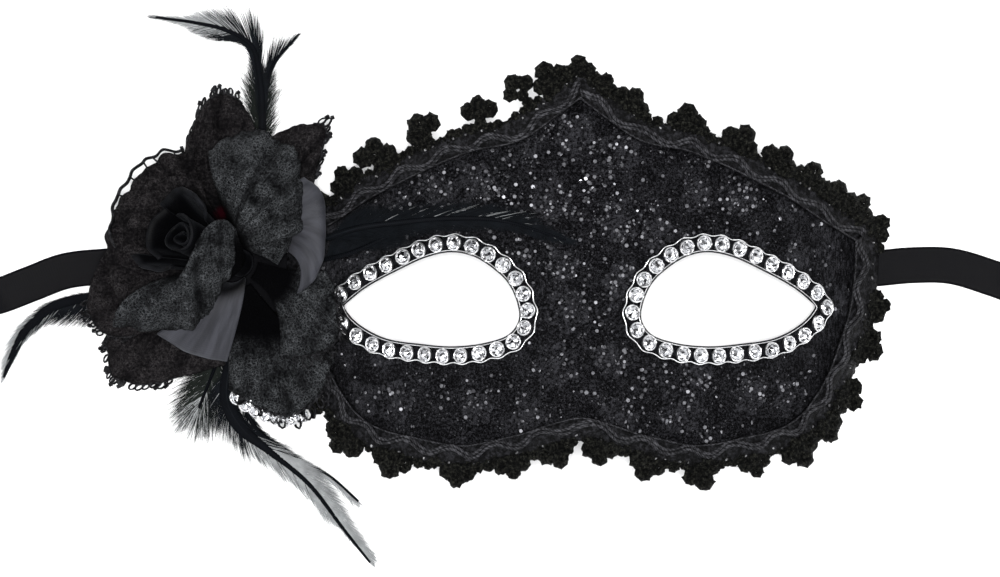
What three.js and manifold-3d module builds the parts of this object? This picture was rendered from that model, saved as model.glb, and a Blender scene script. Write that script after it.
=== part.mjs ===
// A masquerade half mask, lying on its back: a moulded face under sequinned lace, a braid of florets
// round the edge, crystal bands round the eyes, a fabric rose with feathers, and two satin ribbon ties.
// Millimetres. X runs across the face, Y runs up the brow and Z up from the table. While the pieces are
// made, the nose line is at X = 0 and the eye line at Y = 0; the last lines centre the finished mask.
import * as THREE from 'three';
import { mergeVertices } from 'three/addons/utils/BufferGeometryUtils.js';
import Module from 'manifold-3d';

const wasm = await Module();
wasm.setup();
const { Vector3 } = THREE;
const { clamp, degToRad, lerp, smoothstep } = THREE.MathUtils;

// Driving dimensions
const gap = 0.3; // between pieces that touch
const beyond = 200; // reaches past the mask from its middle every way
const face = {
  halfWidth: 81.5, // the temple rim, where the moulding meets the table
  height: 46, // of the brow above the table
  wrapPower: 2.3,
  rimDraw: 0.0083, // how the temple rim draws in below the ribbon
  rimDrawFrom: 8,
  rimDrawDepth: 30,
  foreheadFall: 9,
  foreheadReach: 64,
  cheekFall: 6,
  cheekReach: 46,
  noseRise: 14,
  noseHalfWidth: 13,
  noseTop: 10,
  noseFoot: -36,
  socketDepth: 4,
};
const eye = { x: 40.5, y: -0.5, halfWidth: 27, halfHeight: 17 };
const shellThickness = 1.2;
const lace = { thickness: 0.8, edgeInset: 1.2, eyeInset: 0.5, tableClearance: 0.7 };
const braid = { width: 6.4, thickness: 1.6, bedding: 0.6, flareHeight: -1, tableClearance: 0.9 };
const floret = { reach: 5.6, waist: 0.52, lobeAngle: 95, thickness: 2, out: 1.4, raise: 0.4 };
const crystal = { inset: 0.5, width: 4.4, base: 0.9, height: 2.6, waist: 0.72, count: 27 };
const ribbon = {
  width: 10,
  thickness: 0.4,
  length: 450,
  floor: 0.4, // centre height where it lies flat on the table
  slotHeight: 1.1, // of the arch in the rim that it passes under
  slotMargin: 0.6,
  slotDepth: 4,
  coilRadius: 29,
  coilPitch: 4,
  coilSides: 20,
  twistLength: 34,
  twistEnd: 8, // before the coil
  stepLength: 7,
};
const rose = {
  base: new Vector3(-93, 9.5, 13), // where the stem of the bud leaves its backing
  axis: new Vector3(-0.59, 0.29, 0.754).normalize(),
  petalThickness: 0.9,
  arch: 5, // up the stem, of a petal with no ridge of its own
  archAt: 0.4, // share of the way to the rim
};
// Petals, the lowest first. Each springs from an arc round the stem, given by its two ends in degrees
// (0 to the right, 90 up the brow), its height up the stem and its radius, and runs over its ridge, or
// over one arch, to its rim
const petals = [
  { name: 'petal_lace_top', foot: [124, 84, 1, 7.4], arch: 7,
    rim: [[-110, 38, 13], [-106, 50, 14], [-99.6, 56.5, 14], [-92.5, 53, 14], [-88, 42, 14]] },
  { name: 'petal_lace_top_right', foot: [74, 36, 1.5, 7.4], arch: 6,
    rim: [[-89, 42, 16], [-80.5, 47.5, 18], [-71, 47.5, 20], [-72.3, 38, 21], [-74, 31, 21]] },
  { name: 'petal_satin_right', foot: [68, 40, 5.5, 7], satin: true,
    ridge: [[-84, 27, 25], [-78, 20, 27], [-78.5, 12, 25]],
    rim: [[-76, 34, 25.5], [-70.8, 29, 26.5], [-69.8, 16, 26.5], [-72.5, 6.5, 26], [-78, 1.7, 24.5]] },
  { name: 'petal_lace_lower_right', foot: [2, -38, 2.5, 7.2],
    ridge: [[-78, 8, 19], [-79, 2, 18.5], [-84, -2, 16.5]],
    rim: [[-70, 8, 22], [-68, -2, 22.5], [-67.8, -10.5, 20.5], [-74, -14.5, 18], [-83, -15, 16]] },
  { name: 'petal_lace_bottom', foot: [-50, -112, 1, 7.2],
    ridge: [[-80, -8, 12.5], [-87, -9, 10.5], [-97, -8, 10]],
    rim: [[-68.5, -16, 17.5], [-73, -26, 13], [-80, -31, 11], [-89, -29, 10.5], [-97, -24, 10]] },
  { name: 'petal_lace_lower_left', foot: [-122, -154, 1, 7.2],
    rim: [[-98, -18, 12], [-110, -21, 9.5], [-121, -23, 7], [-129, -20.5, 7], [-130.5, -13, 7],
      [-129, -5, 8]] },
  { name: 'petal_lace_left', foot: [-160, -190, 2, 7.2], arch: 6,
    rim: [[-118, -8.5, 12.5], [-128.5, -10, 11.5], [-135.5, -3.5, 12], [-134.5, 6, 13],
      [-130.5, 14, 15]] },
  { name: 'petal_lace_upper_left', foot: [202, 128, 4.5, 7],
    ridge: [[-113, 5, 20], [-119, 17, 22], [-113, 30, 22], [-105, 33, 21]],
    rim: [[-127, -3, 16], [-131, 12, 18], [-129.3, 23, 19], [-124.3, 31.5, 20], [-117.5, 38.5, 20],
      [-106, 42.5, 19]] },
  { name: 'petal_lace_folded', foot: [74, 22, 7, 6.4],
    ridge: [[-101, 34, 33], [-93, 26, 37], [-90, 19.5, 37], [-88, 12.5, 34]],
    rim: [[-102, 42, 23], [-92, 47, 24], [-79, 42, 26], [-76.5, 31, 28.5], [-76.8, 20, 28.5],
      [-83, 9.5, 27]] },
  { name: 'petal_lace_inner_left', foot: [196, 84, 7, 6.2], arch: 6,
    rim: [[-124, 7, 26], [-125.5, 16, 27], [-121, 27, 30], [-113.5, 33, 32], [-104, 32.5, 33]] },
  { name: 'petal_lace_middle_left', foot: [0, -150, 7.5, 6.2],
    ridge: [[-95, 19.5, 37], [-98.6, 21.8, 40], [-103.5, 18.5, 40.5], [-107.5, 10, 38],
      [-113, 3.5, 31], [-122, 2.5, 25]],
    rim: [[-94.6, 10, 28], [-99.5, 1, 25], [-105.5, -7, 22], [-117, -8.8, 20], [-129, -7.5, 19]] },
  { name: 'petal_satin_bottom', foot: [-46, -130, 3.5, 6.3], satin: true,
    ridge: [[-93.2, -1, 20], [-99, -2, 21], [-107, -1.5, 20]],
    rim: [[-97.5, -17, 15], [-102.5, -16.5, 15], [-110, -14, 15], [-117, -9.6, 15]] },
  { name: 'petal_bud_right', foot: [120, 20, 9.5, 5.1], arch: 3, archAt: 0.6, satin: true,
    rim: [[-115.5, 26, 30], [-111.5, 30, 33.5], [-107.5, 29.5, 37.5], [-104.6, 26.5, 38.5],
      [-103.3, 22.5, 37]] },
  { name: 'petal_bud_left', foot: [203, 130, 9.5, 5.1], arch: 3, archAt: 0.6, satin: true,
    rim: [[-115.8, 11.5, 34.2], [-118.9, 15.4, 31.6], [-117.7, 21.6, 31], [-113.8, 24.9, 32]] },
  { name: 'petal_bud_bottom', foot: [-100, -146, 9.5, 5.1], arch: 3, archAt: 0.6, satin: true,
    rim: [[-112.5, 9.8, 36], [-116.5, 8.6, 34.5], [-120.5, 9.8, 32], [-123.5, 12.6, 29.5]] },
];
// Feathers: places along the quill in X and Y, each with its height above the table (or, over the
// brow, its lift off the lace), and half the width of the vane
const feathers = [
  { name: 'feather_top_long', half: 4, quill: [[-88, 26, 7], [-88, 41, 10], [-87.8, 53, 13], [-88.5, 62, 15],
    [-90.5, 70, 16], [-97, 74.3, 16], [-105, 76.4, 14], [-117.2, 78.2, 11]] },
  { name: 'feather_top_short', half: 1.9, quill: [[-87, 30, 5], [-87.3, 46, 7], [-87, 57, 9],
    [-84.5, 65.5, 11], [-78.2, 72.8, 12]] },
  { name: 'feather_top_down', half: 6, quill: [[-89, 27, 3.4], [-88.5, 42, 4.4], [-88, 63.5, 5.4]] },
  { name: 'feather_left', half: 2.6, quill: [[-99.5, 4, 7], [-118, 3, 6.4], [-134, 1, 5.6], [-146.5, -2.4, 5],
    [-154.6, -9.6, 4], [-158.2, -16.5, 3], [-159.6, -21.5, 2.4]] },
  { name: 'feather_lower_long', half: 4, quill: [[-92, -6, 7.6], [-96.5, -17, 7.2], [-97.5, -28, 6.2],
    [-93.5, -35.5, 6.2], [-86, -41.8, 7], [-75, -51, 5], [-65.4, -63.5, 3.4], [-58, -72.8, 2.2]] },
  { name: 'feather_lower_short', half: 1.7, quill: [[-90, -8, 5], [-93.5, -24, 4.6], [-90, -35, 4.4],
    [-78, -43.8, 4], [-69, -49, 3.6], [-61.3, -55.8, 2.8]] },
  { name: 'feather_lower_down', half: 6, quill: [[-97, -9, 4], [-102, -24, 4], [-107.5, -39, 3.2]] },
  { name: 'feather_brow', half: 4.6, onFace: true, quill: [[-70, 17, 7], [-61, 19.8, 7], [-50.3, 21.2, 6.4],
    [-36.3, 22.4, 5.8], [-22, 21.8, 5.4], [-4, 16.5, 4.2]] },
  { name: 'feather_brow_down', half: 7, onFace: true, quill: [[-71, 11, 5.2], [-63, 13, 5.2],
    [-53, 17.5, 5.2]] },
];
const feather = { thickness: 0.7, camber: 0.5, rootShare: 0.1, tipShare: 0.98, fullness: 0.7 };
const strip = { stones: 7, from: 0.38, to: 0.98, width: 3.4, thickness: 1.6, peek: 0.6 };
const backing = { x: -86, y: 9.5, radius: 13, sides: 18, top: 9.4 };
const bud = {
  buried: 6, // length of stem below the base, from which its slanting foot is cut
  stem: 4.2,
  stemHeight: 12,
  waist: 5,
  waistHeight: 18,
  width: 5.6,
  widthHeight: 24,
  height: 30,
  lip: 1.3,
  well: 1.6, // radius at the bottom of the hollow
  hollow: 9,
};

// Half of the outline, from the peak of the brow round the temple to the arch over the nose
const halfOutline = [
  [0, 63.8], [5.5, 59.1], [11, 55], [19.3, 49.5], [30.3, 47.3], [41.3, 43.2], [52.3, 38],
  [61.9, 33], [70.1, 27.5], [77, 23.4], [82, 19.8], [82.7, 13.8], [82.2, 4.1], [80.6, -5.5],
  [78, -13.8], [74.4, -23.4], [70.4, -30.3], [66, -35.8], [60.5, -39.9], [53.6, -42.6], [46.8, -44],
  [38.5, -45.7], [30.3, -46.2], [22, -44.6], [13.8, -42.6], [8.3, -40.7], [2.8, -39], [0, -38.5],
];
const outlineSteps = 56;
// The eye opening, from just over its outer corner round to that corner
const eyeOutline = [
  [63.6, -0.3], [58.9, 3.4], [49.6, 8.4], [42, 11.8], [35.2, 13.1], [29.5, 12], [24.4, 9],
  [19.8, 4.6], [17.2, -1.2], [16.9, -5.5], [19.5, -9.3], [26, -11.7], [35, -12.7], [43.6, -12.1],
  [54, -10.4], [61.3, -6.4], [64.4, -3], [65, -1.7],
];
const eyeSteps = 22;
// Places of the florets along the braid, from the peak of the brow clockwise
const floretPlaces = [
  0, 16, 34, 49.5, 61.5, 71, 79.5, 87, 94.5, 116, 127, 142, 152, 161.5, 174, 189.5, 203.5, 217.5,
  230.5, 243, 258, 276, 290, 304, 317, 328, 352, 362, 374, 384, 399, 414, 430.5,
];

const materials = {
  shell: new THREE.MeshStandardMaterial({ color: 0x17171a, roughness: 0.45, metalness: 0 }),
  lace: new THREE.MeshStandardMaterial({ color: 0x1c1c20, roughness: 0.8, metalness: 0 }),
  braid: new THREE.MeshStandardMaterial({ color: 0x141416, roughness: 0.7, metalness: 0 }),
  crystal: new THREE.MeshStandardMaterial({ color: 0xd8dade, roughness: 0.15, metalness: 0.9 }),
  felt: new THREE.MeshStandardMaterial({ color: 0x101012, roughness: 0.95, metalness: 0 }),
  satin: new THREE.MeshStandardMaterial({ color: 0x2c2d33, roughness: 0.4, metalness: 0 }),
  petalLace: new THREE.MeshStandardMaterial({ color: 0x1b1b1f, roughness: 0.85, metalness: 0 }),
  feather: new THREE.MeshStandardMaterial({ color: 0x1a1b20, roughness: 0.6, metalness: 0 }),
};

// Height of the moulded face above the table at any place
function faceHeight(x, y) {
  const drawn = clamp(face.rimDrawFrom - y, 0, face.rimDrawDepth);
  const across = Math.abs(x) / (face.halfWidth - face.rimDraw * drawn ** 2);
  const middle = Math.max(1 - across ** 2, 0);
  const fall = y > 0
    ? face.foreheadFall * (y / face.foreheadReach) ** 2
    : face.cheekFall * (y / face.cheekReach) ** 2;
  const ridge = Math.exp(-((x / face.noseHalfWidth) ** 2));
  const nose = face.noseRise * ridge * smoothstep(-y, -face.noseTop, -face.noseFoot);
  const eyeX = (Math.abs(x) - eye.x) / eye.halfWidth;
  const eyeY = (y - eye.y) / eye.halfHeight;
  const socket = face.socketDepth * Math.exp(-(eyeX ** 2) - eyeY ** 2);
  return face.height * (1 - across ** face.wrapPower) + middle * (nose - socket - fall);
}

// The same, turned outwards along the table past the rim, as the braid lies
function flaredHeight(x, y) {
  const above = faceHeight(x, y) - braid.flareHeight;
  return braid.flareHeight + (above + Math.hypot(above, 2)) / 2;
}

// The same place raised by a lift that is measured square to the surface
function raised(height, x, y, lift) {
  const step = 0.5;
  const slopeX = (height(x + step, y) - height(x - step, y)) / (2 * step);
  const slopeY = (height(x, y + step) - height(x, y - step)) / (2 * step);
  return height(x, y) + lift * Math.hypot(1, slopeX, slopeY);
}

// The moulded front is faceted over a grid, and all that lies on it follows the same facets
const grid = { columns: 20, rows: 14, cell: 10, top: 78 };
grid.left = (-grid.columns * grid.cell) / 2;

function onFacets(height, x, y, lift) {
  const column = Math.floor((x - grid.left) / grid.cell);
  const row = Math.floor((grid.top - y) / grid.cell);
  const s = (x - grid.left) / grid.cell - column;
  const t = (grid.top - y) / grid.cell - row;
  const node = (i, j) =>
    raised(height, grid.left + (column + i) * grid.cell, grid.top - (row + j) * grid.cell, lift);
  const [topRight, bottomLeft] = [node(1, 0), node(0, 1)];
  if (s + t <= 1) {
    const topLeft = node(0, 0);
    return new Vector3(x, y, topLeft + s * (topRight - topLeft) + t * (bottomLeft - topLeft));
  }
  const corner = node(1, 1);
  return new Vector3(x, y, corner + (1 - s) * (bottomLeft - corner) + (1 - t) * (topRight - corner));
}

// Corners that meet become one; faces this closes up are dropped, and so are two that then lie face to face
function meshOf(name, geometry, material) {
  geometry.deleteAttribute('normal');
  geometry.deleteAttribute('uv');
  const merged = mergeVertices(geometry, 0.004);
  const faces = new Map();
  for (let i = 0; i < merged.index.count; i += 3) {
    const corners = [...merged.index.array.slice(i, i + 3)];
    if (new Set(corners).size < 3) continue;
    const key = [...corners].sort((a, b) => a - b).join();
    if (!faces.delete(key)) faces.set(key, corners);
  }
  merged.setIndex([...faces.values()].flat());
  const mesh = new THREE.Mesh(merged, material);
  mesh.name = name;
  return mesh;
}

// Solids for joining and cutting
function solid(geometry) {
  const plain = geometry.clone();
  plain.deleteAttribute('normal');
  plain.deleteAttribute('uv');
  const merged = mergeVertices(plain, 1e-4);
  return new wasm.Manifold(new wasm.Mesh({
    numProp: 3,
    vertProperties: new Float32Array(merged.attributes.position.array),
    triVerts: new Uint32Array(merged.index.array),
  }));
}

function geometryOf(body) {
  const { vertProperties, triVerts } = body.getMesh();
  const geometry = new THREE.BufferGeometry();
  geometry.setAttribute('position', new THREE.BufferAttribute(vertProperties, 3));
  geometry.setIndex(new THREE.BufferAttribute(triVerts, 1));
  return geometry;
}

// A closed sheet: a plane bent by front(u, v), backed by back(u, v) and walled round its edge
function closedSheet(columns, rows, front, back) {
  const plane = new THREE.PlaneGeometry(1, 1, columns, rows);
  const count = plane.attributes.position.count;
  const positions = [];
  for (const place of [front, back]) {
    for (let i = 0; i < count; i++) {
      const across = (i % (columns + 1)) / columns;
      const down = Math.floor(i / (columns + 1)) / rows;
      positions.push(...place(across, down));
    }
  }
  const index = [...plane.index.array];
  for (let i = 0; i < plane.index.count; i += 3) {
    const [a, b, c] = plane.index.array.slice(i, i + 3);
    index.push(a + count, c + count, b + count);
  }
  const corner = rows * (columns + 1);
  const rim = [];
  for (let i = 0; i < columns; i++) rim.push(i);
  for (let j = 0; j < rows; j++) rim.push(j * (columns + 1) + columns);
  for (let i = columns; i > 0; i--) rim.push(corner + i);
  for (let j = rows; j > 0; j--) rim.push(j * (columns + 1));
  rim.forEach((p, i) => {
    const q = rim[(i + 1) % rim.length];
    index.push(p, q, q + count, p, q + count, p + count);
  });
  const geometry = new THREE.BufferGeometry();
  geometry.setAttribute('position', new THREE.Float32BufferAttribute(positions, 3));
  geometry.setIndex(index);
  return geometry;
}

// A layer of the moulded front, between two lifts, as wide as the whole grid
function layer(height, lowLift, highLift) {
  const right = grid.left + grid.columns * grid.cell;
  const bottom = grid.top - grid.rows * grid.cell;
  const at = (lift) => (u, v) => {
    const [x, y] = [lerp(grid.left, right, u), lerp(grid.top, bottom, v)];
    return new Vector3(x, y, raised(height, x, y, lift));
  };
  return solid(closedSheet(grid.columns, grid.rows, at(highLift), at(lowLift)));
}

function closedPath(points, steps) {
  const curve = new THREE.CatmullRomCurve3(points.map(([x, y]) => new Vector3(x, y, 0)), true);
  return curve.getSpacedPoints(steps).slice(0, steps);
}

// The path moved inwards (or outwards, when negative) square to itself; the path runs clockwise.
// In a tight corner some points would fold over: they are left out, or follow the nearest that doesn't.
function inset(path, distance, keepAll = false) {
  const count = path.length;
  const least = Math.abs(distance) * 0.985;
  const moved = path.map((point, i) => {
    const along = path[(i + 1) % count].clone().sub(path[(i + count - 1) % count]).normalize();
    return new Vector3(point.x + along.y * distance, point.y - along.x * distance, 0);
  });
  const clear = moved.map((point) => path.every((other) => point.distanceTo(other) >= least));
  if (!keepAll) return moved.filter((_, i) => clear[i]);
  return moved.map((_, i) => {
    let away = 0;
    while (!clear[(i + away) % count] && !clear[(i + count - away) % count]) away += 1;
    return moved[clear[(i + away) % count] ? (i + away) % count : (i + count - away) % count];
  });
}

function prism(path) {
  const shape = new THREE.Shape(path.map(({ x, y }) => new THREE.Vector2(x, y)));
  const geometry = new THREE.ExtrudeGeometry(shape, { depth: 2 * beyond, bevelEnabled: false });
  return solid(geometry.translate(0, 0, -beyond));
}

function box(x0, x1, y0, y1, z0, z1) {
  const geometry = new THREE.BoxGeometry(x1 - x0, y1 - y0, z1 - z0);
  return solid(geometry.translate((x0 + x1) / 2, (y0 + y1) / 2, (z0 + z1) / 2));
}

const above = (z) => box(-beyond, beyond, -beyond, beyond, z, beyond);

const outline = closedPath(
  [...halfOutline, ...halfOutline.slice(1, -1).reverse().map(([x, y]) => [-x, y])],
  outlineSteps,
);
const rightEye = closedPath([...eyeOutline].reverse(), eyeSteps);
const leftEye = rightEye.map(({ x, y }) => new Vector3(-x, y, 0)).reverse();

const shellTop = shellThickness / 2;
const laceBottom = shellTop + gap;
const laceTop = laceBottom + lace.thickness;
const braidBottom = laceTop + braid.bedding;
const braidTop = braidBottom + braid.thickness;

function maskShell() {
  let body = layer(faceHeight, -shellTop, shellTop).intersect(prism(outline)).intersect(above(0));
  for (const opening of [rightEye, leftEye]) body = body.subtract(prism(opening));
  const slotHalf = ribbon.width / 2 + ribbon.slotMargin;
  for (const side of [-1, 1]) {
    const x = side * face.halfWidth;
    const y = ribbonPlan[2][1];
    const [inside, outside] = [x - ribbon.slotDepth, x + ribbon.slotDepth];
    body = body.subtract(box(inside, outside, y - slotHalf, y + slotHalf, -gap, ribbon.slotHeight));
  }
  return meshOf('mask_shell', geometryOf(body), materials.shell);
}

function laceCover() {
  let body = layer(faceHeight, laceBottom, laceTop);
  body = body.intersect(prism(inset(outline, lace.edgeInset))).intersect(above(lace.tableClearance));
  for (const opening of [rightEye, leftEye]) body = body.subtract(prism(inset(opening, -lace.eyeInset)));
  return meshOf('lace_cover', geometryOf(body), materials.lace);
}

// A loop of flat sections round a closed path; place(along, side, corner) gives each corner's point
function loop(steps, corners, place) {
  const geometry = new THREE.TorusGeometry(10, 1, corners, steps);
  const position = geometry.attributes.position;
  for (let i = 0; i < position.count; i++) {
    const step = i % (steps + 1);
    const corner = Math.floor(i / (steps + 1)) % corners;
    position.setXYZ(i, ...place(step % steps, corner));
  }
  return geometry;
}

// The band of the braid: flat below, and crowned along its middle
function braidBand() {
  const edges = [0, braid.width / 2, braid.width].map((distance) => inset(outline, distance, true));
  const corners = [[0, 0], [2, 0], [2, 1], [1, 1], [0, 1]];
  return loop(outline.length, corners.length, (step, corner) => {
    const [edge, level] = corners[corner];
    const { x, y } = edges[edge][step];
    return onFacets(flaredHeight, x, y, level ? braidTop : braidBottom);
  });
}

// A three-lobed floret, flat, pointing up the page
function floretShape() {
  const turns = [-1.5, -1, -0.5, -0.2, 0.2, 0.5, 1, 1.5];
  const points = turns.map((turn) => {
    const reach = floret.reach * (Math.abs(turn) % 1 === 0.5 ? floret.waist : 1);
    const angle = degToRad(turn * floret.lobeAngle);
    return new THREE.Vector2(reach * Math.sin(angle), reach * Math.cos(angle));
  });
  return new THREE.Shape(points);
}

// One floret laid on the flared edge of the mask
function floretSolid(curve, place) {
  const u = place / curve.getLength();
  const edge = curve.getPointAt(u);
  const along = curve.getTangentAt(u);
  const out = new Vector3(-along.y, along.x, 0);
  const geometry = new THREE.ExtrudeGeometry(floretShape(), { depth: floret.thickness, bevelEnabled: false });
  const position = geometry.attributes.position;
  for (let i = 0; i < position.count; i++) {
    const plan = edge.clone().addScaledVector(along, position.getX(i));
    plan.addScaledVector(out, position.getY(i) + floret.out);
    const lift = braidBottom + floret.raise + position.getZ(i);
    position.setXYZ(i, ...onFacets(flaredHeight, plan.x, plan.y, lift));
  }
  return solid(geometry);
}

function edgeBraid() {
  let body = solid(braidBand());
  const curve = new THREE.CatmullRomCurve3(outline, true);
  for (const place of floretPlaces) body = body.add(floretSolid(curve, place));
  return meshOf('edge_braid', geometryOf(body.intersect(above(braid.tableClearance))), materials.braid);
}

// A band of stones: its section swells at each stone and narrows between them
function stonePoint(middle, out, around, swell) {
  const width = (crystal.width / 2) * lerp(crystal.waist, 1, swell);
  const x = middle.x + out.x * width * Math.cos(around);
  const y = middle.y + out.y * width * Math.cos(around);
  const height = crystal.base + (crystal.height - crystal.base) * swell;
  const lift = laceTop + gap + height * Math.max(Math.sin(around), 0);
  return onFacets(faceHeight, x, y, lift);
}

function crystalTrim(name, opening) {
  const middle = inset(opening, -crystal.inset - crystal.width / 2);
  const curve = new THREE.CatmullRomCurve3(middle, true);
  const steps = crystal.count * 2;
  const angles = [270, 180, 90, 0].map(degToRad);
  const geometry = loop(steps, angles.length, (step, corner) => {
    const centre = curve.getPointAt(step / steps);
    const tangent = curve.getTangentAt(step / steps);
    const out = new Vector3(-tangent.y, tangent.x, 0);
    return stonePoint(centre, out, angles[corner], step % 2);
  });
  return meshOf(name, geometry, materials.crystal);
}

// Ribbon ties: where they run on the table, from the glued end inside the temple outwards
const ribbonPlan = [
  [70, 8.5], [75, 8.5], [79, 8.6], [83, 8.8], [92, 9.6], [103, 9.4], [115, 5.9], [128, 1.2],
  [141, -1.3], [155, -2],
];
const leftRibbonPlan = [
  [70, 8.5], [75, 8.5], [79, 8.6], [83, 8.8], [94, 9.2], [106, 9.4], [118, 9.6], [130.5, 9.3],
  [142.5, 8], [152, 4.5], [162, 0.8], [174, -1.4], [187, -2], [199, -2],
];

function ribbonCurve(plan, side) {
  const points = plan.map(([x, y], i) => {
    const inside = onFacets(faceHeight, x, y, -shellTop - 2 * gap - ribbon.thickness / 2);
    return new Vector3(side * x, y, i < 2 ? inside.z : ribbon.floor);
  });
  return new THREE.CatmullRomCurve3(points, false, 'centripetal');
}

// The flat strip, turned on edge over its last stretch so that it can be rolled; it meets the roll's
// round side on its outer face, and stops a gap short of it
function ribbonStrip(name, plan, side) {
  const curve = ribbonCurve(plan, side);
  const whole = curve.getLength();
  const bore = ribbon.coilRadius + ribbon.thickness / 2 + gap;
  const reach = Math.sqrt(bore ** 2 - (ribbon.coilRadius - ribbon.thickness / 2) ** 2);
  const length = whole - reach;
  const section = new THREE.Shape();
  const half = ribbon.width / 2;
  const thick = ribbon.thickness / 2;
  section.moveTo(-half, -thick / 2);
  section.lineTo(-half + thick, -thick);
  section.lineTo(half - thick, -thick);
  section.lineTo(half, -thick / 2);
  section.lineTo(half, thick / 2);
  section.lineTo(half - thick, thick);
  section.lineTo(-half + thick, thick);
  section.lineTo(-half, thick / 2);
  const steps = Math.round(length / ribbon.stepLength);
  const geometry = new THREE.ExtrudeGeometry(section, { depth: 1, steps, bevelEnabled: false });
  const position = geometry.attributes.position;
  for (let i = 0; i < position.count; i++) {
    const distance = position.getZ(i) ** 1.25 * length;
    const { centre, width, thickness } = ribbonFrame(curve, distance, whole);
    centre.addScaledVector(width, position.getX(i)).addScaledVector(thickness, position.getY(i));
    position.setXYZ(i, ...centre);
  }
  return meshOf(name, geometry, materials.satin);
}

function ribbonFrame(curve, distance, whole) {
  const u = clamp(distance / whole, 0, 1);
  const centre = curve.getPointAt(u);
  const along = curve.getTangentAt(u);
  const twisted = whole - ribbon.twistEnd;
  const turn = (Math.PI / 2) * smoothstep(distance, twisted - ribbon.twistLength, twisted);
  const across = new Vector3(-along.y, along.x, 0).normalize();
  const up = along.clone().cross(across);
  centre.z = Math.max(centre.z, ribbon.floor);
  centre.z += (ribbon.width / 2 - ribbon.thickness / 2) * Math.sin(turn);
  return {
    centre,
    width: across.clone().multiplyScalar(Math.cos(turn)).addScaledVector(up, Math.sin(turn)),
    thickness: up.clone().multiplyScalar(Math.cos(turn)).addScaledVector(across, -Math.sin(turn)),
  };
}

// The rest of the tie, rolled up on its edge: a ring of the roll's outer shape
function ribbonCoil(name, plan, side) {
  const rolled = ribbon.length - ribbonCurve(plan, side).getLength();
  const root = Math.sqrt(ribbon.coilRadius ** 2 - (ribbon.coilPitch * rolled) / Math.PI);
  const outer = ribbon.coilRadius + ribbon.thickness / 2;
  const inner = root - ribbon.thickness / 2;
  const low = ribbon.floor - ribbon.thickness / 2;
  const high = low + ribbon.width;
  const profile = [[inner, low], [outer, low], [outer, high], [inner, high], [inner, low]];
  const section = profile.map(([r, z]) => new THREE.Vector2(r, z));
  const geometry = new THREE.LatheGeometry(section, ribbon.coilSides);
  geometry.rotateX(Math.PI / 2);
  const [x, y] = plan.at(-1);
  geometry.translate(side * x, y - ribbon.coilRadius, 0);
  return meshOf(name, geometry, materials.satin);
}

// The rose stands on its own axes: right and up the brow, square to its stem
const roseRight = new Vector3(0, 1, 0).cross(rose.axis).normalize();
const roseUp = rose.axis.clone().cross(roseRight);
const roseFrame = new THREE.Matrix4().makeBasis(roseRight, roseUp, rose.axis).setPosition(rose.base);

function curveThrough(places) {
  return new THREE.CatmullRomCurve3(places.map((place) => new Vector3(...place)), false, 'catmullrom');
}

// A petal's surface: u runs along it from side to side, and v from its foot over its ridge to its rim
function petalSurface({ foot, ridge, rim, arch = rose.arch, archAt = rose.archAt }) {
  const [from, to, rise, radius] = foot;
  const rimLine = curveThrough(rim);
  const ridgeLine = ridge && curveThrough(ridge);
  return (u, v) => {
    const angle = degToRad(lerp(from, to, u));
    const start = new Vector3(radius * Math.cos(angle), radius * Math.sin(angle), rise);
    start.applyMatrix4(roseFrame);
    const end = rimLine.getPoint(u);
    const middle = ridgeLine
      ? ridgeLine.getPoint(u).multiplyScalar(2).addScaledVector(start, -0.5).addScaledVector(end, -0.5)
      : start.clone().lerp(end, archAt).addScaledVector(rose.axis, arch);
    return new THREE.QuadraticBezierCurve3(start, middle, end).getPoint(v);
  };
}

// A point of the petal, lifted square to its surface
function petalPoint(surface, u, v, lift) {
  const step = 0.01;
  const across = surface(Math.min(u + step, 1), v).sub(surface(Math.max(u - step, 0), v));
  const ahead = surface(u, v + step).sub(surface(u, v - step));
  return surface(u, v).addScaledVector(across.cross(ahead).normalize(), lift);
}

function petalMesh(petal) {
  const half = rose.petalThickness / 2;
  const surface = petalSurface(petal);
  const at = (lift) => (u, v) => petalPoint(surface, u, 1 - v, lift);
  const geometry = closedSheet(5, 4, at(half), at(-half));
  return meshOf(petal.name, geometry, petal.satin ? materials.satin : materials.petalLace);
}

// The rolled heart of the rose on its stem, open at the top, its foot cut level
function roseBud() {
  const rim = bud.height - bud.lip;
  const floor = bud.height - bud.hollow;
  const profile = [
    [0, -bud.buried], [bud.stem, -bud.buried], [bud.stem, bud.stemHeight], [bud.waist, bud.waistHeight],
    [bud.width, bud.widthHeight], [bud.width, rim], [bud.width - bud.lip, bud.height],
    [bud.width - 2 * bud.lip, rim], [bud.well, floor], [0, floor],
  ];
  const geometry = new THREE.LatheGeometry(profile.map(([r, h]) => new THREE.Vector2(r, h)), 10);
  geometry.rotateX(Math.PI / 2).applyMatrix4(roseFrame);
  const body = solid(geometry).intersect(above(backing.top + gap));
  return meshOf('rose_bud', geometryOf(body), materials.satin);
}

// A felt wedge between the braid of the temple and the foot of the rose
function roseBacking() {
  const circle = new THREE.CylinderGeometry(backing.radius, backing.radius, beyond, backing.sides);
  circle.rotateX(Math.PI / 2).translate(backing.x, backing.y, 0);
  const under = braidBottom + floret.raise + floret.thickness + gap;
  const body = layer(flaredHeight, under, beyond).intersect(solid(circle)).subtract(above(backing.top));
  return meshOf('rose_backing', geometryOf(body), materials.felt);
}

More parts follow.
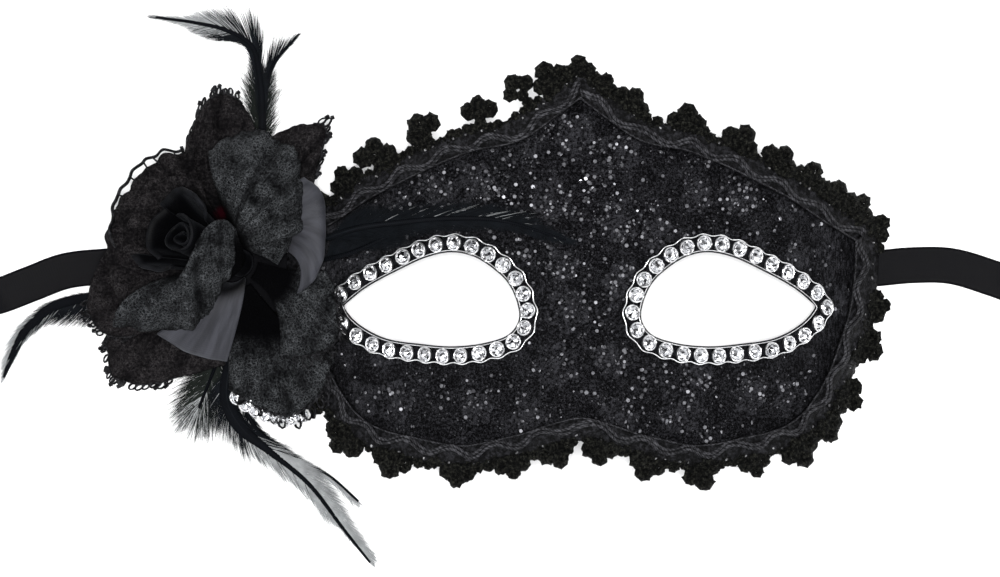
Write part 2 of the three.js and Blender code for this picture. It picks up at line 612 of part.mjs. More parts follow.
// A flat vane along its quill, a little arched across
function featherMesh({ name, half, quill, onFace }) {
  const curve = new THREE.CatmullRomCurve3(quill.map((place) => new Vector3(...place)), false, 'centripetal');
  const rows = quill.length > 3 ? 8 : 5;
  const at = (lift) => (u, v) => {
    const across = 1 - 2 * u;
    const along = 1 - v;
    const share = lerp(feather.rootShare, feather.tipShare, along);
    const spread = half * Math.sin(Math.PI * share) ** feather.fullness;
    const point = curve.getPointAt(along);
    const tangent = curve.getTangentAt(along);
    const side = new Vector3(-tangent.y, tangent.x, 0).normalize();
    point.addScaledVector(side, across * spread);
    const height = point.z + lift + feather.camber * (1 - across ** 2);
    return onFace ? onFacets(faceHeight, point.x, point.y, height) : point.setZ(height);
  };
  const geometry = closedSheet(2, rows, at(feather.thickness / 2), at(-feather.thickness / 2));
  return meshOf(name, geometry, materials.feather);
}

// A short string of stones behind the rim of the bottom petal
function crystalStrip() {
  const surface = petalSurface(petals.find(({ name }) => name === 'petal_lace_bottom'));
  const steps = strip.stones * 2;
  const geometry = new THREE.BoxGeometry(steps, 1, 1, steps, 1, 1);
  const position = geometry.attributes.position;
  for (let i = 0; i < position.count; i++) {
    const along = position.getX(i) / steps + 0.5;
    const swell = Math.round(along * steps) % 2;
    const half = (strip.width / 2) * lerp(crystal.waist, 1, swell);
    const u = lerp(strip.from, strip.to, along);
    const reach = 2 * surface(u, 1).distanceTo(surface(u, 0.5));
    const v = 1 + (strip.peek + 2 * half * position.getY(i)) / reach;
    const lift = -rose.petalThickness / 2 - gap - (position.getZ(i) > 0 ? 0 : strip.thickness);
    position.setXYZ(i, ...petalPoint(surface, u, v, lift));
  }
  return meshOf('crystal_strip', geometry, materials.crystal);
}

const body = new THREE.Group();
body.add(maskShell(), laceCover(), edgeBraid());
body.add(crystalTrim('crystal_trim_right', rightEye), crystalTrim('crystal_trim_left', leftEye));
body.add(roseBacking(), roseBud(), ...petals.map(petalMesh), crystalStrip(), ...feathers.map(featherMesh));

const ties = new THREE.Group();
ties.add(ribbonStrip('ribbon_right', ribbonPlan, 1), ribbonCoil('ribbon_right_coil', ribbonPlan, 1));
ties.add(ribbonStrip('ribbon_left', leftRibbonPlan, -1), ribbonCoil('ribbon_left_coil', leftRibbonPlan, -1));

// The origin is under the middle of the mask, ribbon ties aside, on the table
const mask = new THREE.Group();
mask.add(body, ties);
const bounds = new THREE.Box3().setFromObject(body);
const middle = bounds.getCenter(new Vector3());
mask.position.set(-middle.x, -middle.y, -bounds.min.z);

export default mask;
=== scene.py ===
# Dresses a masquerade half mask: plastic shell, sequinned lace, floret braid, crystal trims, a fabric
# rose with feathers, and satin ties. Places are millimetres of the mask itself: x across the face from
# the nose line, y up from the eye line and z up from the table; toMetres turns them into the model's metres.
import math

import bmesh
import bpy
import numpy as np
from mathutils import Matrix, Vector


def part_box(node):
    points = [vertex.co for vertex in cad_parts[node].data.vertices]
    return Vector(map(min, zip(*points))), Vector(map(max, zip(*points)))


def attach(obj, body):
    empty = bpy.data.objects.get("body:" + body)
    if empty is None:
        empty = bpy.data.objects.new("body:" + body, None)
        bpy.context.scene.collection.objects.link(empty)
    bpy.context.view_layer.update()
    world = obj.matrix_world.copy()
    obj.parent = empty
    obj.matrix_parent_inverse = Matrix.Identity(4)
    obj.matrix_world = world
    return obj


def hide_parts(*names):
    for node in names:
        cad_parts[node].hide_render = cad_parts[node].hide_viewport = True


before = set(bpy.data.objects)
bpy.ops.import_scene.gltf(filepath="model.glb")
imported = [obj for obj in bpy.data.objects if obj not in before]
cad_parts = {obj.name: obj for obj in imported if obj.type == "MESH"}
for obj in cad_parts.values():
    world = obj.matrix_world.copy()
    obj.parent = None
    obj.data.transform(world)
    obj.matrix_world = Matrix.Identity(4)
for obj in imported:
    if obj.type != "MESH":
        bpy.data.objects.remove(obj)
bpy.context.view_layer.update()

scene = bpy.context.scene
shellLow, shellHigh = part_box("mask_shell")
peakHeight = 63.8  # of the brow above the eye line
noseX = (shellLow.x + shellHigh.x) / 2
eyeLineY = shellHigh.y - peakHeight / 1000


def toMetres(places):
    return np.asarray(places, float) / 1000 + (noseX, eyeLineY, 0)


# Camera: straight down, as the photograph was taken
view = {
    "pixel": 0.275,  # millimetres in one pixel of the photograph
    "size": (1000, 577),
    "noseAt": (580, 300),  # pixel where the nose line meets the eye line
    "distance": 4000,
    "level": 35,  # height that the pixel size is true for
    "sensor": 36,
}


def addCamera():
    width, height = view["size"]
    camera = bpy.data.objects.new("camera", bpy.data.cameras.new("camera"))
    scene.collection.objects.link(camera)
    camera.location = toMetres([
        (width / 2 - view["noseAt"][0]) * view["pixel"],
        (view["noseAt"][1] - height / 2) * view["pixel"],
        view["level"] + view["distance"],
    ])
    camera.data.sensor_width = view["sensor"]
    camera.data.lens = view["sensor"] * view["distance"] / (width * view["pixel"])
    camera.data.clip_end = 100
    scene.camera = camera


# Lights in metres from the middle of the mask: a key on the camera's own axis and softboxes round it
lights = {
    "key": {"place": (0.014, 0, 5), "size": 0.7, "power": 330},
    "right": {"place": (1.5, 0.5, 1.5), "size": 1.1, "power": 14},
    "left": {"place": (-1.6, 0.2, 1.3), "size": 1.1, "power": 11},
    "front": {"place": (0.2, -1.7, 1.2), "size": 1.2, "power": 11},
}
room = {
    "horizon": (0.78, 0.79, 0.81), "above": (0.03, 0.03, 0.034), "bright": 0.4, "dark": 0.78,
    "strength": 1.0, "floor": 0.9, "floorReach": 6, "floorDrop": 0.0003,
}


def addLights():
    for name, light in lights.items():
        lamp = bpy.data.objects.new("light_" + name, bpy.data.lights.new("light_" + name, "AREA"))
        scene.collection.objects.link(lamp)
        lamp.data.shape = "DISK"
        lamp.data.size = light["size"]
        lamp.data.energy = light["power"]
        lamp.location = light["place"]
        lamp.rotation_euler = (-lamp.location).to_track_quat("-Z", "Y").to_euler()


def addRoom():
    world = bpy.data.worlds.new("room")
    world.use_nodes = True
    scene.world = world
    tree = world.node_tree
    place = tree.nodes.new("ShaderNodeTexCoord")
    split = tree.nodes.new("ShaderNodeSeparateXYZ")
    ramp = tree.nodes.new("ShaderNodeValToRGB")
    tree.links.new(place.outputs["Generated"], split.inputs[0])
    tree.links.new(split.outputs["Z"], ramp.inputs[0])
    tree.links.new(ramp.outputs["Color"], tree.nodes["Background"].inputs["Color"])
    ramp.color_ramp.elements[0].color = (*room["horizon"], 1)
    ramp.color_ramp.elements[0].position = room["bright"]
    ramp.color_ramp.elements[1].color = (*room["above"], 1)
    ramp.color_ramp.elements[1].position = room["dark"]
    tree.nodes["Background"].inputs["Strength"].default_value = room["strength"]


addCamera()
print("camera placed")


# Shader maths: arithmetic on a Value adds Math nodes to its finish
class Value:
    def __init__(self, finish, socket):
        self.finish, self.socket = finish, socket

    def maths(self, operation, *others):
        sockets = dict(enumerate([self, *others]))
        return self.finish.add("ShaderNodeMath", {"operation": operation}, sockets)

    def __add__(self, other):
        return self.maths("ADD", other)

    __radd__ = __add__

    def __mul__(self, other):
        return self.maths("MULTIPLY", other)

    __rmul__ = __mul__

    def __sub__(self, other):
        return self.maths("SUBTRACT", other)

    def __rsub__(self, other):
        return self * -1 + other

    def sine(self):
        return self.maths("SINE")

    def absolute(self):
        return self.maths("ABSOLUTE")

    def between(self, low, high):  # 0 at low, 1 at high, smooth in between
        settings = {"interpolation_type": "SMOOTHSTEP"}
        sockets = {"Value": self, "From Min": low, "From Max": high}
        return self.finish.add("ShaderNodeMapRange", settings, sockets)


class Finish:
    def __init__(self, name, **plain):
        self.material = bpy.data.materials.new(name)
        self.material.use_nodes = True
        self.tree = self.material.node_tree
        self.shader = self.tree.nodes["Principled BSDF"]
        self.wear(**plain)

    def put(self, socket, value):
        if isinstance(value, Value):
            self.tree.links.new(value.socket, socket)
        elif isinstance(value, tuple) and len(value) == 3 and socket.type == "RGBA":
            socket.default_value = (*value, 1)
        else:
            socket.default_value = value

    # A node with its settings and then its sockets; the result stands for one of its outputs
    def add(self, kind, settings=None, sockets=None, output=0):
        node = self.tree.nodes.new(kind)
        for key, value in (settings or {}).items():
            setattr(node, key, value)
        for key, value in (sockets or {}).items():
            self.put(node.inputs[key], value)
        return Value(self, node.outputs[output])

    def wear(self, **sockets):
        for socket, value in sockets.items():
            self.put(self.shader.inputs[socket.replace("_", " ")], value)

    def place(self):
        return self.add("ShaderNodeTexCoord", output="Object")

    def cloth(self, scale=(1, 1, 1)):
        across = self.add("ShaderNodeUVMap", {"uv_map": "cloth"})
        return self.add("ShaderNodeMapping", {}, {"Vector": across, "Scale": scale})

    def shade(self, name):
        return self.add("ShaderNodeAttribute", {"attribute_name": name}, output="Fac")

    def noise(self, where, scale, detail=3, rough=0.5):
        sockets = {"Vector": where, "Scale": scale, "Detail": detail, "Roughness": rough}
        return self.add("ShaderNodeTexNoise", {}, sockets)

    def cells(self, where, scale, feature="F1", rough=1.0):
        sockets = {"Vector": where, "Scale": scale, "Randomness": rough}
        return self.add("ShaderNodeTexVoronoi", {"feature": feature}, sockets)

    def mix(self, amount, low, high):
        settings = {"data_type": "RGBA"}
        return self.add("ShaderNodeMix", settings, {0: amount, 6: low, 7: high}, output=2)

    def bump(self, height, depth, strength=1.0):  # depth in millimetres
        sockets = {"Height": height, "Distance": depth / 1000, "Strength": strength}
        return self.add("ShaderNodeBump", {}, sockets)


# How far along and across the cloth
def parts(vector):
    return [vector.finish.add("ShaderNodeSeparateXYZ", {}, {0: vector}, output=i) for i in range(2)]


def shellPlastic():
    finish = Finish("shell_plastic", Base_Color=(0.012, 0.012, 0.014), Specular_IOR_Level=0.3)
    where = finish.place()
    haze = finish.noise(where, 60, 4)
    grain = finish.noise(where, 1400, 2)
    finish.wear(Roughness=haze * 0.22 + 0.36, Normal=finish.bump(grain * 0.6 + haze, 0.06, 0.5))
    return finish.material


# Lace over net: mottled threads, drawn out up and down towards the temples. The threads, the net and the
# raised flowers are lighter in colour, partly their own tone and partly painted glints of the threads
def sequinLace():
    finish = Finish("sequin_lace", Specular_IOR_Level=0.04)
    where = finish.cloth()
    along, _ = parts(where)
    temple = along.absolute().between(58, 86)
    net = finish.cells(where, 1.7, "DISTANCE_TO_EDGE", 0.8)
    thread = finish.noise(where, 1.2, 5, 0.75)
    streak = finish.noise(finish.cloth((1, 0.25, 1)), 1.5, 4, 0.75)
    patch = finish.noise(where, 0.16, 3)
    motif = finish.shade("relief")
    grain = thread * (1 - temple) + streak * temple
    mesh = 1 - net.between(0.02, 0.22)
    # painted glints: the lighter colour of the threads also stands in for their shine
    light = grain + mesh * 0.12 + motif.between(0.05, 0.6) * 0.12 + patch * 0.25
    colour = finish.mix(light.between(0.6, 1.0), (0.0006, 0.0006, 0.0009), (0.042, 0.042, 0.048))
    lumps = finish.bump(grain * 1.6 + mesh * 0.5, 0.6, 1.0)
    finish.wear(Base_Color=colour, Roughness=0.9 - grain * 0.3, Normal=lumps)
    return finish.material


def sequinFoil():
    finish = Finish("sequin_foil", Metallic=1.0, Roughness=0.5)
    finish.wear(Base_Color=finish.mix(finish.shade("shade"), (0.01, 0.01, 0.012), (0.42, 0.42, 0.45)))
    return finish.material


# Braid thread: mottled, with a twist along its cords
def braidThread(name, dark, pale, twisted=0.0):
    finish = Finish(name, Roughness=0.55, Specular_IOR_Level=0.08)
    along, across = parts(finish.cloth())
    twist = ((along + across) * 6).sine() * (0.5 * twisted)
    fuzz = finish.noise(finish.place(), 700, 4, 0.75)
    wear = finish.noise(finish.place(), 160, 3)
    light = twist * 0.25 + fuzz
    colour = finish.mix(light.between(0.42, 0.72), dark, pale)
    lumps = finish.bump(twist * 0.6 + fuzz * 1.6, 0.5, 1.0)
    finish.wear(Base_Color=colour, Roughness=wear * 0.3 + 0.4, Normal=lumps)
    return finish.material


# Floret thread: its colour is lighter where the fuzz stands up, partly the thread's own brownish grey and
# partly painted highlights on the bumps
def floretThread():
    finish = Finish("floret_thread", Roughness=0.7, Specular_IOR_Level=0.06)
    where = finish.place()
    loops = finish.cells(where, 1300)
    fuzz = finish.noise(where, 1100, 4, 0.8)
    colour = finish.mix(fuzz.between(0.46, 0.74), (0.0007, 0.0008, 0.0008), (0.034, 0.034, 0.028))
    finish.wear(Base_Color=colour, Normal=finish.bump(fuzz * 1.4 - loops, 0.5, 1.0))
    return finish.material


def silver():
    finish = Finish("silver_cups", Metallic=1.0, Base_Color=(0.95, 0.95, 0.96))
    tarnish = finish.noise(finish.place(), 900, 3)
    finish.wear(Roughness=tarnish * 0.2 + 0.2)
    return finish.material


# Foil-backed stones: each facet bright or dark as the room lies behind it. Their colour is also painted
# whiter or greyer cell by cell, as painted glints, with painted dark reflections as small spots
def crystal():
    finish = Finish("crystal_stones", Metallic=1.0, Coat_Weight=1.0, Coat_Roughness=0.02)
    glint = finish.cells(finish.place(), 900)
    paintedDarkReflection = finish.noise(finish.place(), 1000, 1)
    pale = finish.mix(glint, (0.98, 0.985, 1.0), (0.62, 0.63, 0.66))
    colour = finish.mix(paintedDarkReflection.between(0.58, 0.65), pale, (0.02, 0.02, 0.024))
    finish.wear(Base_Color=colour, Roughness=glint * 0.2 + 0.08)
    return finish.material


def bandingCloth():
    finish = Finish("banding_cloth", Roughness=0.9, Specular_IOR_Level=0.04)
    weave = finish.noise(finish.place(), 1500, 2)
    finish.wear(Base_Color=finish.mix(weave, (0.0008, 0.0008, 0.0012), (0.01, 0.01, 0.012)))
    return finish.material


def felt():
    finish = Finish("felt", Roughness=0.95, Specular_IOR_Level=0.04)
    wool = finish.noise(finish.place(), 1500, 5, 0.8)
    colour = finish.mix(wool, (0.0008, 0.0008, 0.0012), (0.006, 0.006, 0.007))
    finish.wear(Base_Color=colour, Normal=finish.bump(wool, 0.5, 0.8))
    return finish.material


# Painted shade: deep in the rose and in the hollows of its ruffles the cloth's colour goes dark, by a number
# at each corner of the petal; beside the bud the cloth has a wine-red spot
def paintedShadeAndWine(finish, colour):
    flat = finish.add("ShaderNodeMapping", {}, {"Vector": finish.place(), "Scale": (1, 1, 0)})
    away = finish.add("ShaderNodeVectorMath", {"operation": "DISTANCE"},
                      {0: flat, 1: tuple(toMetres(rose["wineAt"]))}, output=1)
    # painted shade: black where the corner's number is 0
    colour = finish.mix(finish.shade("open"), (0.0006, 0.0006, 0.0009), colour)
    return finish.mix(1 - away.between(*rose["wineReach"]), colour, rose["wine"])


# Rose satin: its colour goes lighter and darker in long soft patches, a painted sheen on its folds; the same
# patches also bump it a little and vary its roughness
def roseSatin(name, gloss, dark, pale):
    finish = Finish(name, Specular_IOR_Level=gloss, Sheen_Weight=gloss / 3, Sheen_Roughness=0.4,
                    Sheen_Tint=(0.75, 0.8, 0.9))
    along, across = parts(finish.cloth())
    weave = (along * 14).sine() * 0.4 + (across * 14).sine() * 0.3
    fold = finish.noise(finish.cloth((1, 0.25, 1)), 0.3, 3)
    colour = finish.mix(fold.between(0.25, 0.75), dark, pale)
    finish.wear(Base_Color=paintedShadeAndWine(finish, colour), Roughness=fold * 0.2 + 0.42,
                Normal=finish.bump(weave + fold * 4, 0.06, 0.6))
    return finish.material


# Petal lace: tangled cording over net, worked more or less heavily
def roseLace(name, cording, fine, drawn, dark, pale):
    finish = Finish(name, Roughness=0.9, Specular_IOR_Level=0.03)
    where = finish.place()
    stray = finish.add("ShaderNodeTexNoise", {}, {"Vector": where, "Scale": 420, "Detail": 2}, output=1)
    bent = finish.add("ShaderNodeVectorMath", {"operation": "SCALE"}, {0: stray, "Scale": 0.0024})
    bent = finish.add("ShaderNodeVectorMath", {"operation": "ADD"}, {0: where, 1: bent})
    web = finish.cells(bent, fine, "DISTANCE_TO_EDGE")
    thread = finish.noise(where, 1250, 4, 0.78)
    patch = finish.noise(where, 190, 3)
    cords = 1 - web.between(0.01, 0.14)
    worked = cords * patch.between(0.3, 0.66) * cording
    strokes = finish.noise(finish.cloth((1, 0.16, 1)), 1.5, 3, 0.7)
    light = worked + thread * (0.9 - 0.6 * drawn) + strokes * (0.9 * drawn) + patch * 0.25
    colour = finish.mix(light.between(0.5, 1.12 + 0.1 * drawn), dark, pale)
    lumps = finish.bump(worked * 1.5 + thread * 1.4, 0.5, 1.0)
    finish.wear(Base_Color=paintedShadeAndWine(finish, colour), Normal=lumps)
    return finish.material


# Feather blade: ridged along its barbs; its colour is lighter and bluer along the barbs and in patches, a
# painted blue sheen
def featherBlade():
    finish = Finish("feather_blade", Roughness=0.6, Specular_IOR_Level=0.04)
    along, across = parts(finish.cloth())
    barbs = ((along - across.absolute() * 1.1) * 12).sine() * 0.5 + 0.5
    tone = finish.noise(finish.place(), 140, 3)
    colour = finish.mix(barbs * 0.5 + tone * 0.5, (0.0005, 0.0006, 0.0009), (0.004, 0.005, 0.007))
    finish.wear(Base_Color=colour, Normal=finish.bump(barbs, 0.15, 0.8))
    return finish.material


def featherBarb(name, dark, light):
    finish = Finish(name, Roughness=0.7, Specular_IOR_Level=0.06)
    tone = finish.noise(finish.place(), 320, 3)
    finish.wear(Base_Color=finish.mix(tone, dark, light))
    return finish.material


# Ribbon satin: its colour is lighter along the warp and in soft patches, a painted sheen; the patches also
# vary its roughness, and warp and weft bump it
def ribbonSatin():
    finish = Finish("ribbon_satin", Specular_IOR_Level=0.06)
    along, across = parts(finish.cloth())
    edge = across.absolute().between(4.2, 4.7)
    warp = (across * 22).sine() * 0.5 + 0.5
    weft = (along * 9).sine() * 0.5 + 0.5
    gloss = finish.noise(finish.place(), 220, 3)
    colour = finish.mix(warp * 0.4 + gloss * 0.5, (0.0004, 0.0004, 0.0007), (0.003, 0.003, 0.0042))
    weave = finish.bump(warp * (1 - edge) + weft * edge * 2 + weft * 0.3, 0.06, 0.6)
    finish.wear(Base_Color=colour, Roughness=gloss * 0.2 + edge * 0.25 + 0.36, Normal=weave)
    return finish.material


def paleFloor():
    shade = (room["floor"],) * 3
    finish = Finish("pale_floor", Base_Color=shade, Roughness=0.7, Specular_IOR_Level=0.2)
    return finish.material


# Paths: a smooth line through its points, as the same points give in the solids
def smoothstep(value, low, high):
    t = np.clip((value - low) / (high - low), 0, 1)
    return t * t * (3 - 2 * t)


class Route:
    def __init__(self, points, closed=False, fine=24):
        points = np.asarray(points, float)
        if closed:
            padded = np.vstack([points[-1:], points, points[:2]])
        else:
            padded = np.vstack([2 * points[:1] - points[1:2], points, 2 * points[-1:] - points[-2:-1]])
        before, start, end, after = padded[:-3], padded[1:-2], padded[2:-1], padded[3:]
        spans = [np.sqrt(np.linalg.norm(b - a, axis=1))[:, None] for a, b in
                 ((before, start), (start, end), (end, after))]
        leave = ((start - before) / spans[0] - (end - before) / (spans[0] + spans[1])
                 + (end - start) / spans[1])
        reach = ((end - start) / spans[1] - (after - start) / (spans[1] + spans[2])
                 + (after - end) / spans[2])
        leave, reach = leave * spans[1], reach * spans[1]
        t = (np.arange(fine) / fine)[None, :, None]
        start, end, leave, reach = [a[:, None] for a in (start, end, leave, reach)]
        line = ((2 * t ** 3 - 3 * t ** 2 + 1) * start + (t ** 3 - 2 * t ** 2 + t) * leave
                + (3 * t ** 2 - 2 * t ** 3) * end + (t ** 3 - t ** 2) * reach)
        self.line = np.vstack([line.reshape(-1, points.shape[1]), points[:1] if closed else points[-1:]])
        steps = np.linalg.norm(np.diff(self.line, axis=0), axis=1)
        self.walked = np.concatenate([[0], np.cumsum(steps)])
        self.length = self.walked[-1]
        self.closed = closed

    def at(self, distance):
        distance = np.asarray(distance, float)
        distance = distance % self.length if self.closed else np.clip(distance, 0, self.length)
        return np.stack([np.interp(distance, self.walked, column) for column in self.line.T], axis=-1)

    def tangent(self, distance, near=0.2):
        return unit(self.at(np.asarray(distance) + near) - self.at(np.asarray(distance) - near))


# The path moved inwards (outwards when negative) square to itself; it runs clockwise. Where it would
# fold over in a tight corner, its points are left out, or keep the place of the nearest clear one
def inset(path, distance, keepAll=False, enough=0.985):
    along = np.roll(path, -1, axis=0) - np.roll(path, 1, axis=0)
    along /= np.linalg.norm(along, axis=1, keepdims=True)
    moved = path + np.stack([along[:, 1], -along[:, 0]], axis=1) * distance
    away = np.linalg.norm(moved[:, None] - path[None], axis=2).min(axis=1)
    clear = away >= abs(distance) * enough
    if not keepAll:
        return moved[clear]
    count = len(path)
    numbers = np.arange(count)
    gaps = np.abs(numbers[:, None] - numbers[clear][None])
    nearest = numbers[clear][np.minimum(gaps, count - gaps).argmin(axis=1)]
    return moved[nearest]


# The moulded form of the face, the same as in the solids
face = {
    "halfWidth": 81.5, "height": 46, "wrapPower": 2.3,
    "rimDraw": 0.0083, "rimDrawFrom": 8, "rimDrawDepth": 30,
    "foreheadFall": 9, "foreheadReach": 64, "cheekFall": 6, "cheekReach": 46,
    "noseRise": 14, "noseHalfWidth": 13, "noseTop": 10, "noseFoot": -36,
    "socketDepth": 4, "eyeX": 40.5, "eyeY": -0.5, "eyeHalfWidth": 27, "eyeHalfHeight": 17,
}
lifts = {"shell": 0.6, "laceBottom": 0.9, "laceTop": 1.7, "braidBottom": 2.3}
halfOutline = [
    (0, 63.8), (5.5, 59.1), (11, 55), (19.3, 49.5), (30.3, 47.3), (41.3, 43.2), (52.3, 38),
    (61.9, 33), (70.1, 27.5), (77, 23.4), (82, 19.8), (82.7, 13.8), (82.2, 4.1), (80.6, -5.5),
    (78, -13.8), (74.4, -23.4), (70.4, -30.3), (66, -35.8), (60.5, -39.9), (53.6, -42.6), (46.8, -44),
    (38.5, -45.7), (30.3, -46.2), (22, -44.6), (13.8, -42.6), (8.3, -40.7), (2.8, -39), (0, -38.5),
]
eyeOutline = [
    (63.6, -0.3), (58.9, 3.4), (49.6, 8.4), (42, 11.8), (35.2, 13.1), (29.5, 12), (24.4, 9),
    (19.8, 4.6), (17.2, -1.2), (16.9, -5.5), (19.5, -9.3), (26, -11.7), (35, -12.7), (43.6, -12.1),
    (54, -10.4), (61.3, -6.4), (64.4, -3), (65, -1.7),
]
outlineStep = 0.6  # millimetres between the points of an outline
outlineRoute = Route(halfOutline + [(-x, y) for x, y in halfOutline[-2:0:-1]], closed=True)
outline = outlineRoute.at(np.arange(0, outlineRoute.length, outlineStep))
eyeRoutes = {
    "right": Route(eyeOutline[::-1], closed=True),
    "left": Route([(-x, y) for x, y in eyeOutline], closed=True),
}
eyes = {side: route.at(np.arange(0, route.length, outlineStep)) for side, route in eyeRoutes.items()}


def faceHeight(x, y):
    drawn = np.clip(face["rimDrawFrom"] - y, 0, face["rimDrawDepth"])
    across = np.abs(x) / (face["halfWidth"] - face["rimDraw"] * drawn ** 2)
    middle = np.maximum(1 - across ** 2, 0)
    forehead = face["foreheadFall"] * (y / face["foreheadReach"]) ** 2
    cheek = face["cheekFall"] * (y / face["cheekReach"]) ** 2
    ridge = np.exp(-(x / face["noseHalfWidth"]) ** 2)
    nose = face["noseRise"] * ridge * smoothstep(-y, -face["noseTop"], -face["noseFoot"])
    eyeX = (np.abs(x) - face["eyeX"]) / face["eyeHalfWidth"]
    eyeY = (y - face["eyeY"]) / face["eyeHalfHeight"]
    socket = face["socketDepth"] * np.exp(-eyeX ** 2 - eyeY ** 2)
    fall = np.where(y > 0, forehead, cheek)
    return face["height"] * (1 - across ** face["wrapPower"]) + middle * (nose - socket - fall)


# The same, turned outwards along the table past the rim, as the braid lies
def flaredHeight(x, y, flare=-1):
    above = faceHeight(x, y) - flare
    return flare + (above + np.hypot(above, 2)) / 2


def slopes(height, x, y, step=0.5):
    acrossSlope = (height(x + step, y) - height(x - step, y)) / (2 * step)
    upSlope = (height(x, y + step) - height(x, y - step)) / (2 * step)
    return acrossSlope, upSlope


# A place on the face, lifted square to its surface
def onFace(x, y, lift, height=faceHeight):
    acrossSlope, upSlope = slopes(height, x, y)
    z = height(x, y) + lift * np.sqrt(1 + acrossSlope ** 2 + upSlope ** 2)
    return np.stack([x, y, z], axis=-1)


# Three directions at a place on the face: to its right, up it, and out of it
def axesOn(x, y, height=faceHeight):
    acrossSlope, upSlope = slopes(height, x, y)
    out = unit(np.stack([-acrossSlope, -upSlope, np.ones_like(acrossSlope)], axis=-1))
    right = unit(np.stack([np.ones_like(acrossSlope), np.zeros_like(acrossSlope), acrossSlope], axis=-1))
    return right, np.cross(out, right), out


def unit(vectors):
    return vectors / np.linalg.norm(vectors, axis=-1, keepdims=True)


# How far the cloth reaches round the curve of the face at x
unrolledX = np.linspace(0, 90, 400)
unrolledZ = faceHeight(unrolledX, 0 * unrolledX)
unrolled = np.concatenate([[0], np.cumsum(np.hypot(np.diff(unrolledX), np.diff(unrolledZ)))])


def clothOf(x, y):
    return np.stack([np.sign(x) * np.interp(np.abs(x), unrolledX, unrolled), y], axis=-1)


# Meshes and pieces
def meshFrom(bm, name):
    mesh = bpy.data.meshes.new(name)
    bm.to_mesh(mesh)
    bm.free()
    return mesh


def cornersOf(mesh):
    values = np.empty(len(mesh.vertices) * 3, np.float32)
    mesh.vertices.foreach_get("co", values)
    return values.reshape(-1, 3).astype(float)


def moveTo(mesh, places):
    mesh.vertices.foreach_set("co", toMetres(places).astype(np.float32).ravel())
    mesh.update()


def addCloth(mesh, cloth):
    loops = np.empty(len(mesh.loops), np.int32)
    mesh.loops.foreach_get("vertex_index", loops)
    layer = mesh.uv_layers.new(name="cloth")
    layer.uv.foreach_set("vector", cloth[loops].astype(np.float32).ravel())


def addShade(mesh, name, values):
    shade = mesh.attributes.new(name, "FLOAT", "POINT")
    shade.data.foreach_set("value", np.asarray(values, np.float32))


def merged(mesh, reach=0.000002):
    bm = bmesh.new()
    bm.from_mesh(mesh)
    bmesh.ops.remove_doubles(bm, verts=bm.verts, dist=reach)
    bmesh.ops.recalc_face_normals(bm, faces=bm.faces)
    bm.to_mesh(mesh)
    bm.free()
    return mesh


# A grid moved into place: place(u, v) gives each corner's place and its millimetres in the cloth. A
# shade is a number at each corner that the finish reads
def gridMesh(name, columns, rows, place, wrap=False, **shades):
    bm = bmesh.new()
    bmesh.ops.create_grid(bm, x_segments=columns, y_segments=rows, size=0.5)
    mesh = meshFrom(bm, name)
    flat = cornersOf(mesh) + 0.5
    places, cloth = place(flat[:, 0], flat[:, 1])
    moveTo(mesh, places)
    addCloth(mesh, cloth)
    for shade, values in shades.items():
        addShade(mesh, shade, values(flat[:, 0], flat[:, 1]))
    return merged(mesh) if wrap else mesh


# Many copies of one small mesh, each with its corners moved and one shade
def copiesOf(name, base, copies, shades=None):
    bm = bmesh.new()
    for number, places in enumerate(copies):
        moveTo(base, places)
        if shades is not None:
            shade = np.full(len(places), shades[number], np.float32)
            base.attributes["shade"].data.foreach_set("value", shade)
        bm.from_mesh(base)
    return meshFrom(bm, name)


# Thin round threads: each is its points, their radii, its finish's number and whether it closes
def threadMesh(name, threads, sides=0):
    curve = bpy.data.curves.new(name, "CURVE")
    curve.dimensions = "3D"
    curve.bevel_depth = 0.001
    curve.bevel_resolution = sides
    curve.use_fill_caps = True
    for _ in range(4):  # a thread keeps its finish's number only where the slot is there first
        curve.materials.append(None)
    for points, radii, number, closed in threads:
        spline = curve.splines.new("POLY")
        spline.points.add(len(points) - 1)
        spline.points.foreach_set("co", np.column_stack([toMetres(points), np.ones(len(points))]).ravel())
        spline.points.foreach_set("radius", np.broadcast_to(radii, len(points)).astype(np.float32))
        spline.material_index = number
        spline.use_cyclic_u = closed
    holder = bpy.data.objects.new(name, curve)
    mesh = bpy.data.meshes.new_from_object(holder)
    numbers = np.empty(len(mesh.polygons), np.int32)
    mesh.polygons.foreach_get("material_index", numbers)
    mesh.materials.clear()
    mesh.polygons.foreach_set("material_index", numbers)
    bpy.data.objects.remove(holder)
    bpy.data.curves.remove(curve)
    return mesh


def joined(name, meshes):
    bm = bmesh.new()
    for mesh in meshes:
        bm.from_mesh(mesh)
    return meshFrom(bm, name)


def addPiece(name, mesh, finishes, slot, *nodes, smooth=True, thickness=0):
    piece = bpy.data.objects.new(name, mesh)
    scene.collection.objects.link(piece)
    for finish in finishes:
        mesh.materials.append(finish)
    if smooth:
        mesh.shade_smooth()
    if thickness:
        wall = piece.modifiers.new("thickness", "SOLIDIFY")
        wall.thickness = thickness / 1000
        wall.offset = 0
    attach(piece, "root")
    if nodes:
        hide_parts(*nodes)
    return piece


